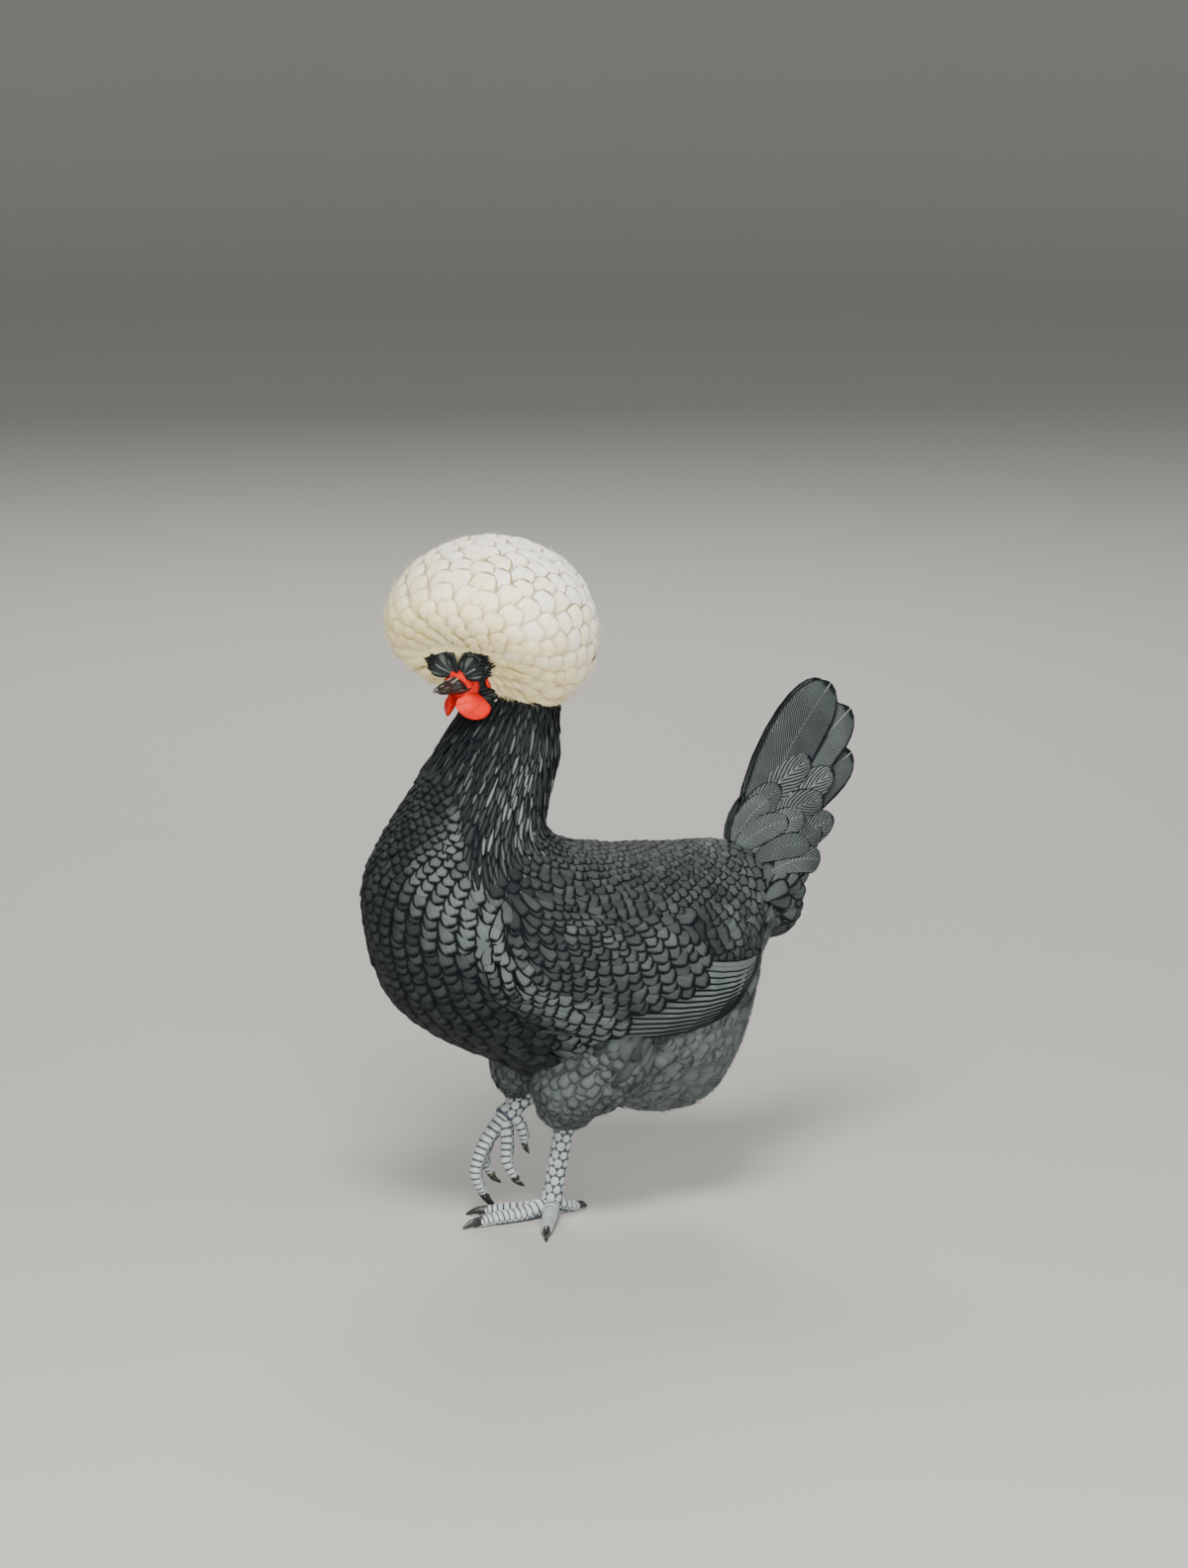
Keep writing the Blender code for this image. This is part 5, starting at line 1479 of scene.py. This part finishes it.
class HEN_OT_face(Step, bpy.types.Operator):
    """Eyes, lids, bill, comb, wattles and earlobes"""

    bl_idname = "hen.face"
    bl_label = "Face"

    def build(self, sizes):
        colours = bpy.context.scene.hen_colours
        red = flesh("Comb and wattles", colours.skin_red, colours.skin_deep, 1300.0, 0.00035)
        # The earlobe's darker colour is painted shade in the hollows between its pebbles.
        white = flesh("Earlobe", (0.82, 0.8, 0.72), (0.55, 0.5, 0.42), 1500.0)
        low, high = (float(head_point(0, 0, up)[2]) for up in (-3, 8))
        bill = horn("Bill horn", low, high)
        eye = eye_material()
        for side, word in ((1, "left"), (-1, "right")):
            self.eye(side, word, eye)
            self.lids(side, word, red)
            self.wattle(side, word, red)
            self.lobe(side, word, white)
        self.cheeks()
        self.bill_half("bill_upper_horn", True, bill)
        self.bill_half("bill_lower_horn", False, bill)
        self.comb(red)

    def cheeks(self):
        """Small black feathers on cheeks and throat, clear of the eyes."""
        rng = np.random.default_rng(97)
        coat = Coat(rng)

        def point(t, a):
            ring = np.sin(t)
            return head_point(2 + 17 * np.cos(t), 14.4 * ring * np.sin(a), -6 + 15.5 * ring * np.cos(a))

        form = Form(point, head_point(2, 0, -6), (1.5, 1.0))
        t, a = tract(form, (0.85, 2.2), (0.9, 5.38), lambda t, a: 2.7 + 0 * t, lambda t, a: 2.3 + 0 * t, 3.14)
        forward, _, up = head_coords(form.point(t, a))
        away = np.linalg.norm(np.stack([forward + 2 - EYE_PLACE[0], up - EYE_PLACE[2]], -1), axis=-1)
        keep = away > 8.5
        t, a = t[keep], a[keep]
        n = len(t)
        shafts = laid(form, t, a, 7.5, HACKLE, -0.8, rng.normal(0.7, 0.2, n), rng.normal(0, 0.12, n), 0.2)
        bake = np.stack([a / 6.4, 0.3 * t], -1)
        batch = Batch(shafts, 1.5, HACKLE, rng.uniform(0.05, 0.35, n), bake)
        coat.vanes(batch, camber=0.3, thick=0.2, across=3)
        coat.make("cheek_feathers", black_plumage(), "black_plumage")

    def gaze(self, side):
        """The middle of an eye, and the way it looks."""
        forward, out, up = EYE_PLACE
        way = head_point(forward, side, up) - head_point(forward, 0, up)
        return head_point(forward, side * out, up), unit(way)

    def eye(self, side, word, material):
        """An eyeball with a little cornea; its tone attribute runs from pupil to rim."""
        middle, gaze = self.gaze(side)
        bm = bmesh.new()
        bmesh.ops.create_icosphere(bm, subdivisions=5, radius=EYE_RADIUS)
        tones = []
        for vert in bm.verts:
            facing = float(np.array(vert.co.normalized()) @ gaze)
            away = math.acos(max(-1.0, min(1.0, facing)))
            tones.append(min(1.0, away / 1.15))
            vert.co *= 1 + 0.05 * float(eased(0.7, 1.0, facing))
            vert.co += Vector(middle)
        mesh = bpy.data.meshes.new(f"eyeball_{word}")
        bm.to_mesh(mesh)
        bm.free()
        mesh.shade_smooth()
        layer = mesh.attributes.new("tone", "FLOAT", "POINT")
        layer.data.foreach_set("value", np.array(tones, np.float32))
        finished(f"eyeball_{word}", mesh, material, (f"eye_{word}",))

    def lids(self, side, word, material):
        """A puckered ring of lid round an eye."""
        middle, gaze = (Vector(part) for part in self.gaze(side))
        bm = bmesh.new()
        circle = bmesh.ops.create_circle(bm, segments=10, radius=LID_WIDTH)["verts"]
        bmesh.ops.rotate(bm, verts=circle, matrix=Matrix.Rotation(math.pi / 2, 3, "X"))
        bmesh.ops.translate(bm, verts=circle, vec=(LID_RADIUS, 0, 0.0022))
        spun(bm, bm.verts[:] + bm.edges[:], 40)
        bmesh.ops.remove_doubles(bm, verts=bm.verts[:], dist=1e-6)
        for vert in bm.verts:
            turn = math.atan2(vert.co.y, vert.co.x)
            vert.co *= 1 + 0.03 * math.sin(14 * turn)
            vert.co.y *= 0.92
        turned = gaze.to_track_quat("Z", "Y").to_matrix().to_4x4()
        bmesh.ops.transform(bm, matrix=Matrix.Translation(middle) @ turned, verts=bm.verts[:])
        from_bmesh(f"eyelids_{word}", bm, material)

    def wattle(self, side, word, material):
        """A rounded wattle with soft folds, hanging beside the lower bill."""
        bm = bmesh.new()
        bmesh.ops.create_icosphere(bm, subdivisions=5, radius=1)
        for vert in bm.verts:
            x, y, z = vert.co
            crease = math.exp(-(((z - 0.35 + 0.7 * x) / 0.16) ** 2)) * float(eased(-0.7, 0.0, x))
            fold = 0.1 * math.sin(5.5 * x + 1.5 * z) * (1 - z * z) + 0.05 * noise.noise(vert.co * 3.5)
            fold -= 0.22 * side * crease
            pinch = 1 - 0.3 * float(eased(0.1, 1.0, z))
            edge = 1 - 0.35 * (x * x + z * z)
            long, thick, tall = WATTLE_RADII
            vert.co = Vector((x * long * pinch, y * thick * edge + fold * 4.0, z * tall))
        splay = Matrix.Rotation(-side * math.radians(30), 3, "Z") @ Matrix.Rotation(side * 0.2, 3, "X")
        splay = splay @ Matrix.Rotation(math.radians(-16), 3, "Y")
        forward, out, up = WATTLE_PLACE
        for vert in bm.verts:
            x, y, z = splay @ vert.co
            vert.co = Vector(head_point(forward + x, side * out + y, up + z))
        from_bmesh(f"wattle_skin_{word}", bm, material, (f"wattle_{word}",))

    def lobe(self, side, word, material):
        """The small wrinkled white earlobe."""
        bm = bmesh.new()
        bmesh.ops.create_icosphere(bm, subdivisions=4, radius=1)
        forward, out, up = LOBE_PLACE
        long, thick, tall = LOBE_RADII
        for vert in bm.verts:
            x, y, z = vert.co * (1 + 0.08 * noise.noise(vert.co * 3))
            vert.co = Vector(head_point(forward + x * long, side * out + y * thick, up + z * tall))
        from_bmesh(f"earlobe_skin_{word}", bm, material, (f"earlobe_{word}",))

    def bill_half(self, name, upper, material):
        """Half of the bill, arched above or shallow below, closed along the mouth line."""
        sides, count = 20, 15
        reach = BILL_REACH * (1.0 if upper else LOWER_SHARE)
        depth = BILL_DEPTHS[0 if upper else 1]
        rings = []
        for i in range(count):
            s = i / (count - 1)
            width = BILL_WIDTH * (1 - s) ** 0.62 + 0.55
            mouth = -1.0 + 2.0 * s - 0.9 * s**2.2 - (0 if upper else 0.5)
            tall = depth * (1 - s) ** 0.55 + 0.65
            turn = FULL_TURN * np.arange(sides) / sides
            rise = np.sin(turn)
            outer = rise > 0 if upper else rise < 0
            ridge = 1 + 0.1 * np.abs(rise) ** 8 if upper else 1.0
            height = rise * np.where(outer, tall * ridge, 0.15)
            left = np.cos(turn) * width * (1 - 0.12 * np.abs(rise))
            rings.append(head_point(np.full(sides, BILL_START + reach * s), left, mouth + height))
        bm = drawn(bmesh.new(), rings)
        node = name.replace("_horn", "")
        from_bmesh(name, bm, material, (node,), levels=1)
        if upper:
            self.nostrils(material)

    def nostrils(self, material):
        """The raised flaps over the nostrils: rings with a dark opening."""
        bm = bmesh.new()
        for side in (-1, 1):
            made = bmesh.ops.create_circle(bm, segments=8, radius=0.85)["verts"]
            bmesh.ops.translate(bm, verts=made, vec=(1.9, 0, 0))
            geom = made + list({edge for vert in made for edge in vert.link_edges})
            for vert in made:
                vert.co = Vector((vert.co.x, 0, vert.co.y))
            spun(bm, geom, 20)
            fresh = [vert for vert in bm.verts if not vert.tag]
            for vert in fresh:
                vert.tag = True
                x, y, z = vert.co
                vert.co = Vector(head_point(26.5 + x * 1.25, side * (4.4 + z * 0.9), 1.9 + y * 0.8 + 0.15 * x))
        from_bmesh("bill_nostrils", bm, material)

    def comb(self, material):
        """The small comb: a pebbled crescent over the root of the bill, with two short horns in a V."""
        bm = bmesh.new()
        points = [head_point(*place) for place in curved(COMB_ARC, np.linspace(0, 6, 40))]
        radii = (2.15 + 0.4 * np.sin(np.arange(40) * 1.9)) * MM
        drawn(bm, rings_along(points, radii, 12, up=(1, 0, 0)))
        for side in (-1, 1):
            points = [head_point(*place) for place in curved(COMB_HORN, np.linspace(0, 3, 8)) * (1, side, 1)]
            radii = np.array((2.3, 2.2, 2.05, 1.9, 1.7, 1.45, 1.1, 0.5)) * MM
            drawn(bm, rings_along(points, radii, 12, up=(1, 0, 0)))
        mesh = remeshed("comb_skin", bm, COMB_VOXEL, 4)
        finished("comb_skin", mesh, material, ("comb",))


# Each toe's number, thickness, centre line and claw line, in millimetres from the ankle; the left
# foot's heights are from the floor.
TOES = {
    "left": (
        (
            3, 5.6, ((0, 0, 8), (-18, 0, 4.1), (-36, 0, 3.4), (-50, 0, 2.7)),
            ((-48, 0, 3.3), (-55, 0, 3.2), (-61.5, 0, 0.4)),
        ),
        (
            4, 5.2, ((0, 0, 7.6), (-9, -14, 3.8), (-18, -27, 3.1), (-25, -38, 2.5)),
            ((-24, -36.5, 3.1), (-28, -43, 2.9), (-32, -50, 0.4)),
        ),
        (
            2, 5.2, ((0, 0, 7.6), (-12, 9, 3.8), (-25, 17, 3.1), (-34, 22, 2.5)),
            ((-32.5, 21, 3.1), (-38.5, 24.5, 2.9), (-44, 27.5, 0.4)),
        ),
        (
            1, 4.6, ((0, 0, 9), (9, 2, 5.4), (17, 4, 2.8), (21, 5, 2.2)),
            ((20, 4.8, 2.8), (25, 6, 2.6), (29, 7, 0.4)),
        ),
    ),
    "right": (
        (
            3, 5.2, ((0, 0, 0), (-13, 0, -15), (-20, -1, -32), (-14.5, 0, -46)),
            ((-15.2, 0, -45), (-11, 0.2, -51.5), (-3.5, 0.4, -58.2)),
        ),
        (
            2, 4.8, ((0, 0, 0), (-1, -6, -13), (-3, -9, -25), (1, -11, -35)),
            ((0.4, -10.8, -34), (2.5, -11.5, -38.5), (7.5, -12, -42)),
        ),
        (
            4, 4.8, ((0, 0, 0), (-6, 7, -14), (-8, 11, -27), (-3, 12, -37)),
            ((-3.6, 12, -36), (-1, 12, -41), (4.5, 12, -45)),
        ),
        (
            1, 4.2, ((2, 0, 2), (9, -2, -4), (12, -3, -12), (12.5, -3, -17)),
            ((12.5, -3, -16), (13, -3.2, -20.5), (15.5, -3.4, -24.5)),
        ),
    ),
}


def toes_of(word):
    """Each toe's number, thickness, centre line and claw line on one foot."""
    x, y, z = LEGS[word]["ankle"]
    start = (x, y, FLOOR if word == "left" else z)
    return [(n, size, np.array(toe) + start, np.array(claw) + start) for n, size, toe, claw in TOES[word]]


def bar_form(line, radii, up):
    """A tapered bar's surface: place along it from 0 to 1, and angle round it from its top."""
    count = len(line) - 1

    def point(t, a):
        place = np.clip(t, 0, 1) * count
        centre = curved(line, place)
        run = unit(curved(line, np.minimum(place + 0.05, count)) - curved(line, np.maximum(place - 0.05, 0)))
        side = unit(np.cross(run, np.asarray(up, float)))
        rise = np.cross(side, run)
        over = run * np.asarray((t - np.clip(t, 0, 1)) * 20.0)[..., None]
        size = between(radii, np.clip(t, 0, 1))[..., None]
        ring = rise * np.cos(a)[..., None] + side * np.sin(a)[..., None]
        return (centre + ring * size + over) * MM + SHIFT

    return Form(point, curved(line, count / 2) * MM + SHIFT, (0.5, 0.3))


def plates(coat, form, t, a, long, wide, raised, sides=6):
    """Adds raised plates that follow a form: flat in the middle, with bevelled edges."""
    n = len(t)
    along, around = paces(form, t, a)
    angles = FULL_TURN * (np.arange(sides) + 0.5) / sides
    long, wide = column(long, n) * MM / along, column(wide, n) * MM / around
    rings = []
    for share, height in ((1.0, -0.25), (0.94, 0.55), (0.7, 1.0), (0.0, 1.12)):
        places = t[:, None] + long * np.cos(angles) * share
        turns = a[:, None] + wide * np.sin(angles) * share
        if share == 0:
            places, turns = places[:, :1], turns[:, :1]
        lift = raised * height * MM
        rings.append(form.point(places, turns) + form.normal(places, turns) * lift)
    points = np.concatenate(rings, axis=1)
    inner, top = 2 * sides, 3 * sides
    faces = walls(3, sides) + [(inner + j, inner + (j + 1) % sides, top) for j in range(sides)]
    faces = form.faced(faces + [tuple(range(sides))[::-1]])
    uv = np.full((1, points.shape[1], 2), 0.5)
    bake = np.stack([0.1 + 0.8 * np.mod(a, 6.283) / 6.283, 0.05 + 0.9 * np.clip(t, 0, 1)], -1)
    coat.add(points, faces, uv, bake, 0.0)
    coat.tones[-1] = np.tile(np.concatenate([np.zeros(sides), np.full(sides, 0.45), np.ones(sides + 1)]), n)


class HEN_OT_legs(Step, bpy.types.Operator):
    """Shanks and toes under raised scales, and curved claws"""

    bl_idname = "hen.legs"
    bl_label = "Legs and feet"

    def build(self, sizes):
        size = sizes.leg_scale / MM
        scales = scale_material()
        low = float(SHIFT[2] + FLOOR * MM)
        claw = horn("Claw horn", low, low + 0.05)
        for word, leg in LEGS.items():
            rng = np.random.default_rng(83)
            self.shank(word, leg, size, scales, rng)
            for number, thick, line, claw_line in toes_of(word):
                self.toe(f"{word}_{number}", thick, line, scales, rng, word == "left")
                self.claw(f"{word}_{number}", thick, claw_line, claw)

    def tube(self, coat, form, rows, sides, swollen, wild):
        """Adds a closed bar in the form's shape, raised and toned as swollen says for its places."""
        round_places = FULL_TURN * np.arange(sides) / sides
        places, turns = np.meshgrid(np.linspace(0, 1, rows), round_places, indexing="ij")
        swell, tone = swollen(turns)
        ring = form.point(places, turns) + form.normal(places, turns) * (swell * MM)[..., None]
        uv = np.stack([turns / 6.6, places], -1).reshape(1, -1, 2)
        faces = form.faced(tube_faces(rows, sides))
        coat.add(ring.reshape(1, -1, 3), faces, uv, np.array([[0.5, 0.5]]), 0.0, wild)
        coat.bakes[-1] = 0.02 + 0.96 * coat.maps[-1]
        coat.tones[-1] = tone.ravel()

    def banded(self, coat, form, count):
        """A toe's skin: broad scutes across its top as swollen rings between dark grooves."""
        steps = 7
        rows = count * steps + 1

        def swollen(turns):
            top = 1 - eased(1.7, 2.1, np.minimum(turns, FULL_TURN - turns))
            swell = np.sin(math.pi * (np.arange(rows) % steps) / steps)[:, None] ** 0.5 * top
            return swell * 0.55, 0.85 * eased(0.35, 0.92, swell)

        self.tube(coat, form, rows, 20, swollen, 0.6)

    def shank(self, word, leg, size, material, rng):
        """A shank with two rows of broad scales in front and small ones round the back."""
        hock, ankle = np.array(leg["hock"], float), np.array(leg["ankle"], float)
        line = [hock + (ankle - hock) * s for s in (-0.08, 0.15, 0.4, 0.7, 0.9, 1.0, 1.05)]
        radii = (6.6, 6.3, 5.8, 5.7, 6.2, 6.6, 4.6)
        form = bar_form(line, radii, (-1.0, 0.0, 0.0) if word == "left" else (-0.4, 0.0, 1.0))
        coat = Coat(rng)
        self.tube(coat, form, 36, 24, lambda turns: (0 * turns, 0 * turns), 0.5)
        round_span = (-math.pi, math.pi)
        t, a = tract(form, (0.02, 0.97), round_span, lambda t, a: size * 1.04, lambda t, a: size * 1.02, 0.0)
        front = np.abs(a) < 1.3
        plates(coat, form, t[front], a[front], size * 0.62, size * 0.56, 0.42)
        plates(coat, form, t[~front], a[~front], size * 0.54, size * 0.5, 0.3)
        coat.make(f"shank_scales_{word}", material, "slate_scales", (f"shank_{word}",))

    def toe(self, title, thick, line, material, rng, standing):
        """A toe with broad scutes across its top, granules at its sides and pads below."""
        radii = np.array([1.0, 0.94, 0.88, 0.82, 0.75, 0.66, 0.5]) * thick * 0.93
        up = (0, 0, 1) if standing else (-1, 0, 0.2)
        form = bar_form(line, radii, up)
        span = np.sum(np.linalg.norm(np.diff(line, axis=0), axis=1))
        coat = Coat(rng)
        count = int(span / 3.5)
        self.banded(coat, form, count)
        for hand in (-1, 1):
            fine = (np.arange(count * 2) + 0.5) / (count * 2) * 0.95
            around = np.full(len(fine), hand * 1.95) + 0.1 * (np.arange(len(fine)) % 2)
            plates(coat, form, fine, around, 0.27 * span / count, 1.1, 0.28)
        pads = np.array((0.2, 0.5, 0.8, 0.97))
        plates(coat, form, pads, np.full(4, math.pi), 0.11 * span, thick * 0.62, 0.2 if standing else 0.6, 10)
        if standing:
            for points in coat.points:
                points[:, 2] = np.maximum(points[:, 2], SHIFT[2] + FLOOR * MM)
        coat.make(f"toe_scales_{title}", material, "slate_scales", (f"toe_{title}",))

    def claw(self, title, thick, line, material):
        """A smooth curved claw, flat where it would enter the floor."""
        centres = curved(line, np.linspace(0, len(line) - 1, 9)) * MM + SHIFT
        radii = thick * np.array((0.62, 0.6, 0.55, 0.49, 0.42, 0.34, 0.26, 0.18, 0.08)) * MM
        up = (0, 0, 1) if abs(line[-1][2] - line[0][2]) < 20 else (0, 1, 0)
        rings = rings_along(centres, radii, 12, up=up, flat=0.8)
        rings[..., 2] = np.maximum(rings[..., 2], SHIFT[2] + FLOOR * MM)
        bm = drawn(bmesh.new(), rings)
        from_bmesh(f"claw_horn_{title}", bm, material, (f"claw_{title}",), sharp=50)


# The photograph's camera, in the hen's own millimetres
CAMERA_TARGET = (60.7, 27.0, 252.7)
CAMERA_AZIMUTH = math.radians(-30)
CAMERA_RISE = math.radians(12)
CAMERA_AWAY = 4.2
FRAME_HEIGHT = 0.95
SENSOR = 36.0
# The floor, and the bend to the backdrop at its far edge, in metres
FLOOR_REACH, BEND, BACKDROP_TOP = 4.0, 1.4, 3.2
# Each light's place, size, power and colour
LAMPS = {
    "key": ((-0.9, -1.3, 2.2), 0.8, 94.0, (1.0, 0.98, 0.94)),
    "front": ((-1.3, -2.0, 0.6), 1.5, 72.0, (1.0, 0.99, 0.96)),
    "fill": ((1.7, -1.5, 0.9), 1.5, 20.0, (0.94, 0.97, 1.0)),
    "rim": ((0.9, 1.9, 1.6), 1.0, 40.0, (1.0, 0.98, 0.95)),
}
WORLD_COLOUR, WORLD_STRENGTH = (0.96, 0.97, 1.0, 1), 0.3


class HEN_OT_stage(Step, bpy.types.Operator):
    """Pale floor, soft studio light and the photograph's camera"""

    bl_idname = "hen.stage"
    bl_label = "Studio and camera"

    def build(self, sizes):
        self.floor()
        target = Vector(np.array(CAMERA_TARGET) * MM + SHIFT)
        self.camera(target)
        for name, lamp in LAMPS.items():
            self.lamp(name, *lamp, target)
        world = bpy.data.worlds.new("Studio")
        world.use_nodes = True
        back = world.node_tree.nodes["Background"]
        back.inputs["Color"].default_value = WORLD_COLOUR
        back.inputs["Strength"].default_value = WORLD_STRENGTH
        bpy.context.scene.world = world

    def floor(self):
        """A round floor whose far edge curves up as a backdrop on every side."""
        bm = bmesh.new()
        places = [(0.001, 0), (FLOOR_REACH, 0)]
        for turn in np.linspace(0, math.pi / 2, 11)[1:]:
            places.append((FLOOR_REACH + BEND * math.sin(turn), BEND * (1 - math.cos(turn))))
        places.append((FLOOR_REACH + BEND, BACKDROP_TOP))
        profile = [bm.verts.new((x, 0, z)) for x, z in places]
        for one, two in zip(profile, profile[1:]):
            bm.edges.new((one, two))
        spun(bm, bm.verts[:] + bm.edges[:], 96)
        bmesh.ops.remove_doubles(bm, verts=bm.verts[:], dist=0.005)
        bmesh.ops.recalc_face_normals(bm, faces=bm.faces[:])
        bmesh.ops.reverse_faces(bm, faces=bm.faces[:])
        mesh = bpy.data.meshes.new("studio_floor")
        bm.to_mesh(mesh)
        bm.free()
        mesh.shade_smooth()
        mesh.materials.append(floor_material())
        piece = bpy.data.objects.new("studio_floor", mesh)
        bpy.context.scene.collection.objects.link(piece)

    def camera(self, target):
        """The camera at the photograph's viewing angle and framing."""
        out = Vector((
            math.sin(CAMERA_AZIMUTH) * math.cos(CAMERA_RISE),
            -math.cos(CAMERA_AZIMUTH) * math.cos(CAMERA_RISE),
            math.sin(CAMERA_RISE),
        ))
        data = bpy.data.cameras.new("Photograph")
        data.sensor_width = SENSOR
        data.lens = SENSOR * CAMERA_AWAY / FRAME_HEIGHT
        camera = bpy.data.objects.new("Photograph", data)
        camera.location = target + out * CAMERA_AWAY
        camera.rotation_euler = (-out).to_track_quat("-Z", "Y").to_euler()
        bpy.context.scene.collection.objects.link(camera)
        bpy.context.scene.camera = camera

    def lamp(self, name, place, size, power, colour, target):
        """A square soft light, aimed at the hen."""
        data = bpy.data.lights.new(name, "AREA")
        data.size = size
        data.energy = power
        data.color = colour
        light = bpy.data.objects.new(name, data)
        light.location = place
        light.rotation_euler = (target - Vector(place)).to_track_quat("-Z", "Y").to_euler()
        bpy.context.scene.collection.objects.link(light)


class HEN_PT_panel(bpy.types.Panel):
    """Lists the steps that dress the hen"""

    bl_idname = "HEN_PT_panel"
    bl_label = "Crested hen"
    bl_space_type = "VIEW_3D"
    bl_region_type = "UI"
    bl_category = "Hen"

    def draw(self, context):
        for step in STEPS:
            self.layout.operator(step.bl_idname)
        for settings in (context.scene.hen_sizes, context.scene.hen_colours):
            box = self.layout.box()
            for key in settings.__annotations__:
                box.prop(settings, key)


STEPS = (
    HEN_OT_skin, HEN_OT_face, HEN_OT_tufts, HEN_OT_crest, HEN_OT_hackles, HEN_OT_body_coat,
    HEN_OT_thighs, HEN_OT_wings, HEN_OT_tail, HEN_OT_legs, HEN_OT_stage,
)
CLASSES = (HenColours, HenSizes, *STEPS, HEN_PT_panel)


def register():
    """Adds the settings, steps and panel to Blender."""
    for item in CLASSES:
        bpy.utils.register_class(item)
    bpy.types.Scene.hen_colours = PointerProperty(type=HenColours)
    bpy.types.Scene.hen_sizes = PointerProperty(type=HenSizes)


def unregister():
    """Removes them again."""
    del bpy.types.Scene.hen_sizes
    del bpy.types.Scene.hen_colours
    for item in reversed(CLASSES):
        bpy.utils.unregister_class(item)


def main():
    """Dresses the hen step by step."""
    register()
    bpy.ops.hen.skin()
    bpy.ops.hen.face()
    bpy.ops.hen.tufts()
    bpy.ops.hen.crest()
    bpy.ops.hen.hackles()
    bpy.ops.hen.body_coat()
    bpy.ops.hen.thighs()
    bpy.ops.hen.wings()
    bpy.ops.hen.tail()
    bpy.ops.hen.legs()
    bpy.ops.hen.stage()
    bpy.context.view_layer.update()


if __name__ == "__main__":
    main()
